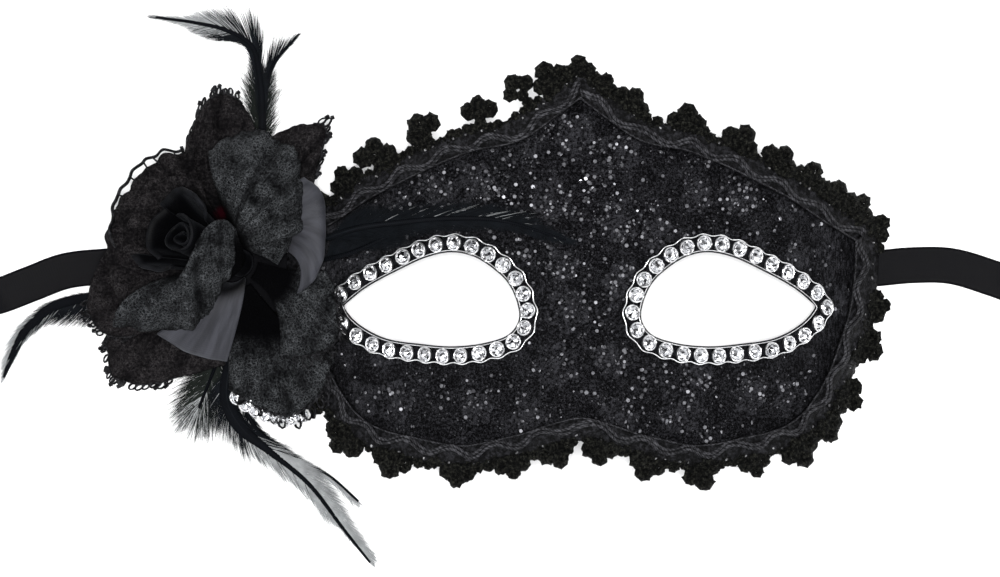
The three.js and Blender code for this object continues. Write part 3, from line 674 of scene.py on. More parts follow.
# Ribbon ties: satin strips that leave under the temples, lie on the table and end in a loose roll
ribbon = {
    "width": 10, "thickness": 0.4, "length": 450, "floor": 0.4, "below": 1.4,
    "coilRadius": 29, "coilPitch": 4, "twistLength": 34, "twistEnd": 8,
    "step": 1.25, "across": 8,
}
ribbonPlans = {
    "right": [(70, 8.5), (75, 8.5), (79, 8.6), (83, 8.8), (92, 9.6), (103, 9.4), (115, 5.9), (128, 1.2),
              (141, -1.3), (155, -2)],
    "left": [(70, 8.5), (75, 8.5), (79, 8.6), (83, 8.8), (94, 9.2), (106, 9.4), (118, 9.6), (130.5, 9.3),
             (142.5, 8), (152, 4.5), (162, 0.8), (174, -1.4), (187, -2), (199, -2)],
}


def ribbonRoute(side, sign):
    plan = np.array(ribbonPlans[side], float)
    glued = onFace(plan[:2, 0], plan[:2, 1], -ribbon["below"])
    lying = np.column_stack([plan[2:], np.full(len(plan) - 2, ribbon["floor"])])
    return Route(np.vstack([glued, lying]) * (sign, 1, 1))


def ribbonCentre(route, sign, distance):
    whole = route.length
    strip = route.at(np.minimum(distance, whole))
    rolled = np.maximum(distance - whole, 0)
    radius = np.sqrt(ribbon["coilRadius"] ** 2 - ribbon["coilPitch"] * rolled / math.pi)
    turned = (ribbon["coilRadius"] - radius) * 2 * math.pi / ribbon["coilPitch"]
    angle = math.pi / 2 - sign * turned
    end = route.at(whole)
    coil = np.stack([end[0] + radius * np.cos(angle), end[1] - ribbon["coilRadius"] + radius * np.sin(angle),
                     np.full_like(radius, ribbon["floor"])], axis=-1)
    centre = np.where((distance > whole)[..., None], coil, strip)
    twisted = whole - ribbon["twistEnd"]
    turn = math.pi / 2 * smoothstep(distance, twisted - ribbon["twistLength"], twisted)
    centre[..., 2] = np.maximum(centre[..., 2], ribbon["floor"])
    centre[..., 2] += (ribbon["width"] - ribbon["thickness"]) / 2 * np.sin(turn)
    return centre, turn


def layRibbon(side, sign, finish):
    route = ribbonRoute(side, sign)

    def place(u, v):
        distance = v * ribbon["length"]
        centre, turn = ribbonCentre(route, sign, distance)
        before, after = [ribbonCentre(route, sign, distance + step)[0] for step in (-0.1, 0.1)]
        along = unit(after - before)
        across = unit(np.stack([-along[:, 1], along[:, 0], 0 * along[:, 0]], axis=-1))
        up = np.cross(along, across)
        width = across * np.cos(turn)[:, None] + up * np.sin(turn)[:, None]
        out = (u - 0.5) * ribbon["width"]
        return centre + width * out[:, None], np.stack([distance, out], axis=-1)

    rows = round(ribbon["length"] / ribbon["step"])
    name = "ribbon_tie_" + side
    mesh = gridMesh(name, ribbon["across"], rows, place)
    nodes = ("ribbon_" + side, "ribbon_" + side + "_coil")
    piece = addPiece(name, mesh, [finish], "ribbon_satin", *nodes, thickness=ribbon["thickness"])
    path = toMetres(ribbonCentre(route, sign, np.linspace(0, ribbon["length"], rows + 1))[0])


addLights()
addRoom()
satinTie = ribbonSatin()
layRibbon("right", 1, satinTie)
layRibbon("left", -1, satinTie)
print("ribbon ties laid")


def addFloor():
    bm = bmesh.new()
    bmesh.ops.create_grid(bm, x_segments=1, y_segments=1, size=room["floorReach"])
    bmesh.ops.translate(bm, verts=bm.verts, vec=(0, 0, -room["floorDrop"]))
    floor = bpy.data.objects.new("floor", meshFrom(bm, "floor"))
    scene.collection.objects.link(floor)
    floor.data.materials.append(paleFloor())


addFloor()
print("floor laid")


# Moulded layers: a flat slab of cells bent to the face, then cut by upright prisms. The prisms are
# taller than the mask and margin wider than the slab
slab = {
    "left": -88, "right": 88, "bottom": -52, "top": 70, "shellCell": 1.6, "laceCell": 0.72,
    "under": -60, "over": 140, "margin": 32, "shellSharp": 50, "laceSharp": 60,
}


def extruded(bm, faces, height):
    raised = bmesh.ops.extrude_face_region(bm, geom=faces)["geom"]
    verts = [part for part in raised if isinstance(part, bmesh.types.BMVert)]
    bmesh.ops.translate(bm, verts=verts, vec=(0, 0, height))
    bmesh.ops.recalc_face_normals(bm, faces=bm.faces)


def bentSlab(name, cell, low, high, relief=None):
    columns = round((slab["right"] - slab["left"]) / cell)
    rows = round((slab["top"] - slab["bottom"]) / cell)
    bm = bmesh.new()
    bmesh.ops.create_grid(bm, x_segments=columns, y_segments=rows, size=0.5)
    extruded(bm, bm.faces[:], 1)
    mesh = meshFrom(bm, name)
    flat = cornersOf(mesh)
    x = slab["left"] + (flat[:, 0] + 0.5) * (slab["right"] - slab["left"])
    y = slab["bottom"] + (flat[:, 1] + 0.5) * (slab["top"] - slab["bottom"])
    top = high if relief is None else high + relief(x, y)
    moveTo(mesh, onFace(x, y, np.where(flat[:, 2] > 0.5, top, low)))
    return mesh


def prism(path, low=slab["under"], high=slab["over"]):
    bm = bmesh.new()
    foot = toMetres(np.column_stack([path, np.full(len(path), low)]))
    extruded(bm, [bm.faces.new([bm.verts.new(place) for place in foot])], (high - low) / 1000)
    return meshFrom(bm, "cutter")


def rectangle(left, right, bottom, top):
    return np.array([(left, bottom), (left, top), (right, top), (right, bottom)], float)


def cut(mesh, cutter, operation):
    body, tool = [bpy.data.objects.new(part.name, part) for part in (mesh, cutter)]
    scene.collection.objects.link(body)
    scene.collection.objects.link(tool)
    step = body.modifiers.new("cut", "BOOLEAN")
    step.operation, step.object, step.solver = operation, tool, "MANIFOLD"
    result = bpy.data.meshes.new_from_object(body.evaluated_get(bpy.context.evaluated_depsgraph_get()))
    result.materials.clear()
    for used in (body, tool):
        bpy.data.objects.remove(used)
    return result


def moulded(mesh, edgeInset=0, eyeInset=0, aboveTable=0):
    margin = slab["margin"]
    around = rectangle(slab["left"] - margin, slab["right"] + margin, slab["bottom"] - margin,
                       slab["top"] + margin)
    mesh = cut(mesh, prism(inset(outline, edgeInset) if edgeInset else outline), "INTERSECT")
    mesh = cut(mesh, prism(around, aboveTable), "INTERSECT")
    for eye in eyes.values():
        mesh = cut(mesh, prism(inset(eye, -eyeInset) if eyeInset else eye), "DIFFERENCE")
    return mesh


shellSlot = {"bottom": 3, "top": 14.2, "height": 1.1, "depth": 4, "from": -5}  # low, for a ribbon tie


def addShell():
    mesh = moulded(bentSlab("shell", slab["shellCell"], -lifts["shell"], lifts["shell"]))
    for sign in (-1, 1):
        middle = sign * face["halfWidth"]
        arch = rectangle(middle - shellSlot["depth"], middle + shellSlot["depth"],
                         shellSlot["bottom"], shellSlot["top"])
        mesh = cut(mesh, prism(arch, shellSlot["from"], shellSlot["height"]), "DIFFERENCE")
    addPiece("moulded_shell", mesh, [shellPlastic()], "shell_plastic", "mask_shell")
    mesh.set_sharp_from_angle(angle=math.radians(slab["shellSharp"]))


addShell()
print("shell moulded")


# Lace: flowers and stems raised from a net
laceWork = {
    "seed": 11, "span": ((-104, -48), (104, 62)), "flowers": 96, "spacing": 11, "radius": (4.2, 6.6),
    "notch": 0.45, "cord": 0.55, "raise": 0.26, "heart": 1.1, "vein": 0.22, "veinWidth": 0.6,
    "fill": 0.1, "stem": 0.8, "stemBend": 0.35, "stems": 3, "pile": 0.12,
    "edgeInset": 1.2, "eyeInset": 0.5, "aboveTable": 0.7,
    "eyeSpan": (4.9, 6), "edgeSpan": (6.2, 7.6),  # bare up to the first, open from the second
}


def scattered(chance, count, spacing, low, high, tries=6000):
    kept = []
    for spot in chance.uniform(low, high, (tries, 2)):
        if len(kept) < count and all(math.dist(spot, other) >= spacing for other in kept):
            kept.append(spot)
    return np.array(kept)


chance = np.random.default_rng(laceWork["seed"])
flowerSpots = scattered(chance, laceWork["flowers"], laceWork["spacing"], *laceWork["span"])
flowers = [
    {"spot": spot, "radius": chance.uniform(*laceWork["radius"]), "petals": int(chance.integers(5, 8)),
     "phase": chance.uniform(0, math.tau)}
    for spot in flowerSpots
]


def flowerEdge(flower, angle):
    petals = np.abs(np.cos((angle - flower["phase"]) * flower["petals"] / 2)) ** 0.8
    return flower["radius"] * (1 - laceWork["notch"] + laceWork["notch"] * petals)


def stems():  # a bent line from each flower to its nearest ones
    lines = []
    most = laceWork["stemBend"]
    for number, spot in enumerate(flowerSpots):
        near = np.argsort(np.linalg.norm(flowerSpots - spot, axis=1))[1:1 + laceWork["stems"]]
        for other in near:
            if other > number:
                bend = chance.uniform(-most, most) * (flowerSpots[other] - spot)[::-1] * (1, -1)
                middle = (spot + flowerSpots[other]) / 2 + bend
                lines.append(Route([spot, middle, flowerSpots[other]], fine=10).line)
    return np.vstack(lines)


stemPoints = stems()


def laceRelief(x, y):
    cloth = clothOf(x, y)
    height = np.zeros(len(cloth))
    for flower in flowers:
        away = cloth - flower["spot"]
        near = np.abs(away).max(axis=1) < flower["radius"] * 1.3
        reach = np.linalg.norm(away[near], axis=1)
        angle = np.arctan2(away[near, 1], away[near, 0])
        edge = flowerEdge(flower, angle)
        rim = laceWork["raise"] * np.exp(-((reach - edge) / laceWork["cord"]) ** 2)
        heart = laceWork["raise"] * np.exp(-(reach / laceWork["heart"]) ** 2)
        vein = np.abs(np.sin((angle - flower["phase"]) * flower["petals"] / 2)) * reach
        veins = laceWork["vein"] * np.exp(-(vein / laceWork["veinWidth"]) ** 2) * (reach < edge)
        fill = laceWork["fill"] * (reach < edge)
        height[near] = np.maximum(height[near], rim + heart + veins + fill)
    reach = np.full(len(cloth), 9.0)
    for start in range(0, len(stemPoints), 40):
        part = stemPoints[start:start + 40]
        middle = part.mean(axis=0)
        near = (np.abs(cloth - middle) < np.abs(part - middle).max(axis=0) + 2).all(axis=1)
        gaps = np.linalg.norm(cloth[near][:, None] - part[None], axis=2).min(axis=1)
        reach[near] = np.minimum(reach[near], gaps)
    stem = laceWork["raise"] * laceWork["stem"] * np.exp(-(reach / laceWork["cord"]) ** 2)
    height = np.maximum(height, stem)
    tufts = np.sin(2.3 * cloth[:, 0] + 1.7 * np.sin(1.9 * cloth[:, 1])) * np.sin(2.7 * cloth[:, 1] + 0.9)
    return (height + laceWork["pile"] * tufts) * openLace(x, y)


def within(path, places):  # true for places inside a closed path
    thin = path[::2]
    inside = np.zeros(len(places), bool)
    for (x0, y0), (x1, y1) in zip(thin, np.roll(thin, -1, axis=0)):
        crosses = (y0 > places[:, 1]) != (y1 > places[:, 1])
        inside ^= crosses & (places[:, 0] < x0 + (x1 - x0) * (places[:, 1] - y0) / ((y1 - y0) or 1))
    return inside


# 0 under the crystal trims and the braid, and 1 on the open lace
def openLace(x, y):
    places = np.stack([x, y], axis=-1)
    holes = within(eyes["right"], places) | within(eyes["left"], places)
    openness = np.where(within(outline, places) & ~holes, 1.0, 0.0)
    edges = [(eye, laceWork["eyeSpan"]) for eye in eyes.values()] + [(outline, laceWork["edgeSpan"])]
    for path, span in edges:
        thin = path[::3]
        away = np.concatenate([np.linalg.norm(part[:, None] - thin[None], axis=2).min(axis=1)
                               for part in np.array_split(places, 40)])  # in parts, to spare the memory
        openness *= smoothstep(away, *span)
    return openness


def addLace():
    mesh = bentSlab("lace", slab["laceCell"], lifts["laceBottom"], lifts["laceTop"], laceRelief)
    mesh = moulded(mesh, laceWork["edgeInset"], laceWork["eyeInset"], laceWork["aboveTable"])
    places = (cornersOf(mesh) - (noseX, eyeLineY, 0)) * 1000
    addCloth(mesh, clothOf(places[:, 0], places[:, 1]))
    addShade(mesh, "relief", laceRelief(places[:, 0], places[:, 1]) * 2)
    addPiece("lace_cloth", mesh, [sequinLace()], "sequin_lace", "lace_cover")
    mesh.set_sharp_from_angle(angle=math.radians(slab["laceSharp"]))


addLace()
print("lace laid,", len(flowers), "flowers")


# Sequins: foil discs in clusters, along the flowers and scattered between them, and finer glitter.
# About half of the spots drawn fall off the open lace and are left out
sequins = {
    "lace_sequins": {"seed": 5, "drawn": 1700, "radius": 0.54, "thickness": 0.16, "sides": 6, "tilt": 26,
                     "lift": 0.2, "shade": (0.04, 0.72), "dim": 1.6},
    "lace_glitter": {"seed": 6, "drawn": 4000, "radius": 0.3, "thickness": 0.1, "sides": 4, "tilt": 34,
                     "lift": 0.12, "shade": (0.02, 0.3), "dim": 2.2},
}
sequinSpan = (-100, -44), (100, 60)  # corners of the cloth they are sewn on, as it lies flat
clusters = {"count": 260, "spread": 1.5, "stray": 0.35}
onFlowers, inClusters = 0.3, 0.65  # shares of the spots, the second with the first in it
density = {"everywhere": 0.12, "middle": 0.75, "brows": 0.4, "cheeks": 0.62}
steepest, discSizes, discTaper = 0.9, (0.75, 1.25), 0.8


def sequinDensity(x, y):
    middle = np.exp(-((x + 2) / 40) ** 2) * smoothstep(y, -30, 6)
    brows = np.exp(-((np.abs(x) - 32) / 24) ** 2 - ((y - 27) / 13) ** 2)
    cheeks = np.exp(-((np.abs(x) - 30) / 34) ** 2 - ((y + 27) / 10) ** 2)
    return np.clip(density["everywhere"] + density["middle"] * middle + density["brows"] * brows
                   + density["cheeks"] * cheeks, 0, 1)


def sequinSpots(chance, count):
    hearts = chance.uniform(*sequinSpan, (clusters["count"], 2))
    spots = []
    while len(spots) < count:
        kind = chance.random()
        if kind < onFlowers:
            flower = flowers[chance.integers(len(flowers))]
            angle = chance.uniform(0, math.tau)
            reach = flowerEdge(flower, angle) * chance.choice([1, 1, 0.55])
            reach += chance.normal(0, clusters["stray"])
            across, y = flower["spot"] + reach * np.array([math.cos(angle), math.sin(angle)])
        elif kind < inClusters:
            across, y = hearts[chance.integers(len(hearts))] + chance.normal(0, clusters["spread"], 2)
        else:
            across, y = chance.uniform(*sequinSpan)
        x = math.copysign(np.interp(abs(across), unrolled, unrolledX), across)
        if chance.random() < sequinDensity(x, y):
            spots.append((x, y))
    spots = np.array(spots)
    return spots[openLace(spots[:, 0], spots[:, 1]) > 0.5]


# Axes of something small, tipped by two leans from the surface it sits on and turned about itself
def tipped(right, up, out, lean, turn):
    out = unit(out + lean[0] * right + lean[1] * up)
    side = unit(np.cross(up, out))
    fore = np.cross(out, side)
    sine, cosine = math.sin(turn), math.cos(turn)
    return np.array([side * cosine + fore * sine, fore * cosine - side * sine, out])


def addSequins(name, disc, foil):
    chance = np.random.default_rng(disc["seed"])
    spots = sequinSpots(chance, disc["drawn"])
    bm = bmesh.new()
    bmesh.ops.create_cone(bm, cap_ends=True, segments=disc["sides"], radius1=1, radius2=discTaper, depth=1)
    base = meshFrom(bm, "disc")
    addShade(base, "shade", np.zeros(len(base.vertices)))
    corners = cornersOf(base) * (disc["radius"], disc["radius"], disc["thickness"])
    axes = zip(*axesOn(spots[:, 0], spots[:, 1]))
    lift = lifts["laceTop"] + laceRelief(spots[:, 0], spots[:, 1]) + disc["lift"]
    dark, bright = disc["shade"]
    copies, shades = [], []
    for middle, (right, up, out) in zip(onFace(spots[:, 0], spots[:, 1], lift), axes):
        lean = np.clip(chance.normal(0, math.radians(disc["tilt"]), 2), -steepest, steepest)
        spun = tipped(right, up, out, lean, chance.uniform(0, math.tau))
        copies.append(middle + corners * chance.uniform(*discSizes) @ spun)
        shades.append(dark + (bright - dark) * chance.random() ** disc["dim"])
    addPiece(name, copiesOf(name, base, copies, shades), [foil], "sequin_lace", smooth=False)
    print(len(spots), "discs of", name)


foil = sequinFoil()
for name, disc in sequins.items():
    addSequins(name, disc, foil)


# Crystal banding: stones in silver cups on black cloth, between a scalloped wire and a finer one
banding = {
    "stones": 27, "offset": 2.65, "facets": 9, "cupSides": 14, "lift": 0.3,
    "cup": [(2.0, 0.0), (2.14, 0.4), (2.2, 1.05), (1.98, 1.27), (1.78, 1.1), (1.74, 0.6)],
    "stone": [(1.72, 0.8), (1.62, 1.3), (1.2, 1.72), (0.42, 2.3)],
    # dark: the height in the cup below which its inside takes the painted shade
    "prongs": 4, "prong": 0.36, "prongAt": 1.86, "prongHeight": 1.24, "dark": 0.95, "tip": 0.09,
    "cloth": 1.3, "wire": 0.17, "wireOut": 2.15, "wireUp": 0.4, "scallop": 0.3, "scallopUp": 0.12,
    "inner": 0.1, "innerOut": 2.1, "innerUp": 0.1, "step": 0.4, "seeds": {"right": 21, "left": 22},
}


# A ring of corners for each radius and height, bridged to the last one, with the ends closed
def turned(bm, profile, sides, stagger=False):
    rings = []
    for number, (radius, height) in enumerate(profile):
        ring = bmesh.ops.create_circle(bm, segments=sides, radius=radius)["verts"]
        angle = math.pi / sides * (number % 2) if stagger else 0
        bmesh.ops.rotate(bm, verts=ring, cent=(0, 0, 0), matrix=rotation(angle))
        bmesh.ops.translate(bm, verts=ring, vec=(0, 0, height))
        rings.append(ring)
    for low, high in zip(rings, rings[1:]):
        edges = {edge for ring in (low, high) for v in ring for edge in v.link_edges
                 if all(end in ring for end in edge.verts)}
        bmesh.ops.bridge_loops(bm, edges=list(edges))
    for ring in (rings[0], rings[-1]):
        bmesh.ops.contextual_create(bm, geom=ring)
    return [v for ring in rings for v in ring]


def rotation(angle, axis="Z"):
    return Matrix.Rotation(angle, 3, axis)


# Silver is finish 0, the stone 1, and 2 is the black banding cloth put on the cup's floor and the low inside
# of its wall round the stone, as painted shade
def stoneMesh():
    bm = bmesh.new()
    turned(bm, banding["cup"], banding["cupSides"])
    for facet in bm.faces:
        middle = facet.calc_center_median()
        inside = middle.z < banding["dark"] and middle.xy.length < banding["prongAt"]
        facet.material_index = 2 if inside else 0
    for number in range(banding["prongs"]):
        angle = math.tau * (number + 0.5) / banding["prongs"]
        prong = bmesh.ops.create_icosphere(bm, subdivisions=1, radius=banding["prong"])["verts"]
        reach = banding["prongAt"]
        bmesh.ops.translate(bm, verts=prong,
                            vec=(reach * math.cos(angle), reach * math.sin(angle), banding["prongHeight"]))
    cups = set(bm.faces)
    turned(bm, banding["stone"], banding["facets"], stagger=True)
    stone = [facet for facet in bm.faces if facet not in cups]
    for facet in stone:
        facet.material_index = 1
    bmesh.ops.triangulate(bm, faces=stone)
    bmesh.ops.recalc_face_normals(bm, faces=bm.faces)
    return meshFrom(bm, "stone")


def stonesAt(name, base, middles, axes, chance):
    corners = cornersOf(base)
    copies = []
    for middle, (right, up, out) in zip(middles, axes):
        lean = chance.normal(0, banding["tip"], 2)
        copies.append(middle + corners @ tipped(right, up, out, lean, chance.uniform(0, math.tau)))
    return copiesOf(name, base, copies)


def addTrim(side, finishes):
    chance = np.random.default_rng(banding["seeds"][side])
    centre = inset(eyes[side], -banding["offset"])
    route = Route(centre[::4], closed=True)
    pitch = route.length / banding["stones"]
    spots = route.at(np.arange(banding["stones"]) * pitch)
    level = lifts["laceTop"] + banding["lift"]
    middles = onFace(spots[:, 0], spots[:, 1], level)
    axes = list(zip(*axesOn(spots[:, 0], spots[:, 1])))
    stones = stonesAt("stones", stoneMesh(), middles, axes, chance)
    steps = np.arange(0, route.length, banding["step"])
    wave = np.cos(steps / pitch * math.tau)

    def line(out, lift, radius, finish):  # a closed thread beside the centre line
        tangents = route.tangent(steps)
        outwards = np.stack([-tangents[:, 1], tangents[:, 0]], axis=-1)
        plan = route.at(steps) + outwards * (out + 0 * steps)[:, None]
        return onFace(plan[:, 0], plan[:, 1], level + lift), radius, finish, True

    threads = [
        line(banding["wireOut"] + banding["scallop"] * wave,
             banding["wireUp"] + banding["scallopUp"] * wave, banding["wire"], 0),
        line(-banding["innerOut"], banding["innerUp"], banding["inner"], 0),
        line(0, banding["innerUp"] - banding["cloth"] / 2, banding["cloth"], 2),
    ]
    mesh = joined("trim", [stones, threadMesh("wire", threads, 1)])
    node = "crystal_trim_" + side
    addPiece("crystal_banding_" + side, mesh, finishes, "crystal_banding", node, smooth=False)


bandingFinishes = [silver(), crystal(), bandingCloth()]
addTrim("right", bandingFinishes)
addTrim("left", bandingFinishes)
print("crystal trims set")


# Braid: a band with waving cords and a knotted outer edge, and florets of three corded lobes
braid = {
    "from": 0.2, "width": 6.4, "thickness": 1.1, "crown": 0.4, "across": 12, "waveLength": 13.5,
    "cordSides": 8, "cordRound": 2.9,
    "cords": [{"at": 3.9, "wave": 1.2, "radius": 0.5}, {"at": 4.95, "wave": 1.2, "radius": 0.5},
              {"at": 6.25, "wave": 0.0, "radius": 0.26}],
    "knots": 2.3, "knotGaps": (0.6, 1.3), "knotSize": (0.42, 0.74), "knotOut": (-1.3, 0.3),
    "knotUp": -0.3, "seed": 31,
    "clear": [(101, 112), (333, 344)],  # no knots where the ties come out
    "stitches": 4.6, "stitchGaps": (0.5, 1.8), "stitchAt": 1.2, "stitchStray": 0.25,
    "stitchLean": (-0.3, 0.3), "stitchLong": (0.1, 0.6), "stitch": (0.2, 0.36),
    "grooves": [(5.6, 0.35), (3, 0.4)], "groove": 0.3, "cordUp": 0.2, "stitchUp": 0.1,
}
floretPlaces = [  # millimetres along the outline from the peak of the brow, clockwise
    0, 8, 17, 34, 49.5, 61.5, 71, 79.5, 87, 94.5, 116, 127, 142, 152, 161.5, 174, 189.5, 203.5, 217.5,
    230.5, 243, 258, 276, 290, 304, 317, 328, 352, 362, 374, 384, 399, 414, 429, 438,
]
standOut = {  # millimetres further out than the rest, by place
    0: -1.9, 8: -0.9, 87: 0.4, 94.5: -0.8, 384: 2.2, 399: 3, 414: 3.2, 429: 5, 438: 1.6,
}
floret = {
    "ring": 1.5, "cord": 1.02, "bumps": 7, "bump": 0.2, "button": 0.9, "buttonUp": 0.2, "reach": 2.9,
    "angle": 78, "out": 0.5, "lift": 1.2, "rough": 0.14, "cordSides": 7, "steps": 21,
    "neck": (0.2, 0.7), "neckSize": 0.7, "neckUp": 0.3, "tip": 0.2, "sizes": (0.88, 1.12),
    "reaches": (0.92, 1.08), "lobes": (0.85, 1.1), "uneven": 0.2,
}


def bandEdges():
    distances = np.linspace(braid["from"], braid["width"], braid["across"] + 1)
    return distances, np.stack([inset(outline, distance, keepAll=True) for distance in distances])


def addBraid():
    distances, edges = bandEdges()
    steps = len(outline)
    top = lifts["braidBottom"] + braid["thickness"]

    def onBand(distance, step, lift):  # distance in from the outline, step round it
        level = np.interp(distance, distances, np.arange(len(distances)))
        low = np.minimum(level.astype(int), len(distances) - 2)
        step = np.round(step).astype(int) % steps
        share = (level - low)[:, None]
        plan = edges[low, step] * (1 - share) + edges[low + 1, step] * share
        return onFace(plan[:, 0], plan[:, 1], lift, flaredHeight)

    def crown(distance):
        return braid["crown"] * np.sin(math.pi * np.clip(distance / braid["width"], 0, 1))

    def band(u, v):
        distance = distances[0] + v * (distances[-1] - distances[0])
        groove = sum(np.exp(-((distance - at) / wide) ** 2) for at, wide in braid["grooves"])
        lift = lifts["braidBottom"] + braid["thickness"] / 2 + crown(distance) - braid["groove"] * groove
        return onBand(distance, u * steps, lift), np.stack([u * outlineRoute.length, distance], axis=-1)

    def cordMesh(settings):
        waves = round(outlineRoute.length / braid["waveLength"])

        def cord(u, v):
            around = u * math.tau
            distance = settings["at"] + settings["wave"] * np.sin(v * waves * math.tau)
            distance = distance + settings["radius"] * np.cos(around)
            lift = top + crown(distance) + braid["cordUp"] + settings["radius"] * np.sin(around)
            cloth = np.stack([v * outlineRoute.length, u * braid["cordRound"]], axis=-1)
            return onBand(distance, v * steps, lift), cloth

        return gridMesh("cord", braid["cordSides"], steps, cord, wrap=True)

    bandMesh = gridMesh("band", steps, braid["across"], band, wrap=True)
    cords = joined("cords", map(cordMesh, braid["cords"]))
    thread = braidThread("braid_thread", (0.0005, 0.0005, 0.0007), (0.02, 0.02, 0.023))
    cordThread = braidThread("braid_cord", (0.008, 0.008, 0.009), (0.07, 0.07, 0.077), 0.5)
    stitchThread = braidThread("braid_stitches", (0.06, 0.06, 0.063), (0.5, 0.5, 0.51))
    addPiece("braid_band", bandMesh, [thread], "braid", "edge_braid", thickness=braid["thickness"])
    addPiece("braid_cords", cords, [cordThread], "braid")
    chance = np.random.default_rng(braid["seed"] + 1)
    stitches = []
    place = 0
    while place < outlineRoute.length:
        step = np.array([place, place + chance.uniform(*braid["stitchLean"])]) / outlineStep
        distance = braid["stitchAt"] + chance.normal(0, braid["stitchStray"])
        distance = distance + np.array([0, chance.uniform(*braid["stitchLong"])])
        line = onBand(distance, step, top + crown(distance) + braid["stitchUp"])
        stitches.append((line, chance.uniform(*braid["stitch"]), 0, False))
        place += braid["stitches"] * chance.uniform(*braid["stitchGaps"])
    addPiece("braid_stitches", threadMesh("stitches", stitches), [stitchThread], "braid")


def floretMesh():
    bm = bmesh.new()
    spun = bmesh.ops.create_circle(bm, segments=floret["cordSides"], radius=floret["cord"])["verts"]
    bmesh.ops.rotate(bm, verts=spun, cent=(0, 0, 0), matrix=rotation(math.pi / 2, "X"))
    bmesh.ops.translate(bm, verts=spun, vec=(floret["ring"], 0, 0))
    bmesh.ops.spin(bm, geom=bm.edges[:], cent=(0, 0, 0), axis=(0, 0, 1), angle=math.tau,
                   steps=floret["steps"], use_merge=True, use_duplicate=False)
    for vert in bm.verts:
        angle = math.atan2(vert.co.y, vert.co.x)
        middle = rotation(angle).col[0] * floret["ring"]
        vert.co = middle + (vert.co - middle) * (1 + floret["bump"] * math.cos(angle * floret["bumps"]))
    button = bmesh.ops.create_icosphere(bm, subdivisions=1, radius=floret["button"])["verts"]
    bmesh.ops.translate(bm, verts=button, vec=(0, 0, floret["buttonUp"]))
    bmesh.ops.recalc_face_normals(bm, faces=bm.faces)
    return meshFrom(bm, "lobe")


# The florets, and the small knots between them
def addFlorets():
    chance = np.random.default_rng(braid["seed"])
    lobe = floretMesh()
    corners = cornersOf(lobe)
    copies = []

    def add(place, ahead, across, size, lift):
        edge, along = outlineRoute.at(place), outlineRoute.tangent(place)
        out = np.array([-along[1], along[0]])
        spin = np.array(rotation(chance.uniform(0, math.tau)))
        local = (corners + chance.normal(0, floret["rough"], corners.shape)) * size @ spin
        plan = edge + np.outer(across + local[:, 0], along) + np.outer(ahead + local[:, 1], out)
        height = lifts["braidBottom"] + floret["lift"] + lift + local[:, 2]
        copies.append(onFace(plan[:, 0], plan[:, 1], height, flaredHeight))

    for place in floretPlaces:
        lean = chance.normal(0, floret["tip"])
        base = floret["out"] + standOut.get(place, 0)
        size = chance.uniform(*floret["sizes"])
        for turn in (-1, 0, 1):
            angle = math.radians(turn * floret["angle"]) + lean
            reach = floret["reach"] * size * chance.uniform(*floret["reaches"])
            add(place, reach * math.cos(angle) + base, reach * math.sin(angle),
                size * chance.uniform(*floret["lobes"]), chance.normal(0, floret["uneven"]))
        for share in floret["neck"]:
            add(place, base * share, 0, floret["neckSize"], floret["neckUp"])
    place = 0
    while place < outlineRoute.length:
        if not any(start < place < end for start, end in braid["clear"]):
            add(place, chance.uniform(*braid["knotOut"]), 0, chance.uniform(*braid["knotSize"]),
                braid["knotUp"])
        place += braid["knots"] * chance.uniform(*braid["knotGaps"])
    addPiece("braid_florets", copiesOf("florets", lobe, copies), [floretThread()], "braid")


addBraid()
addFlorets()
print("braid and florets laid")


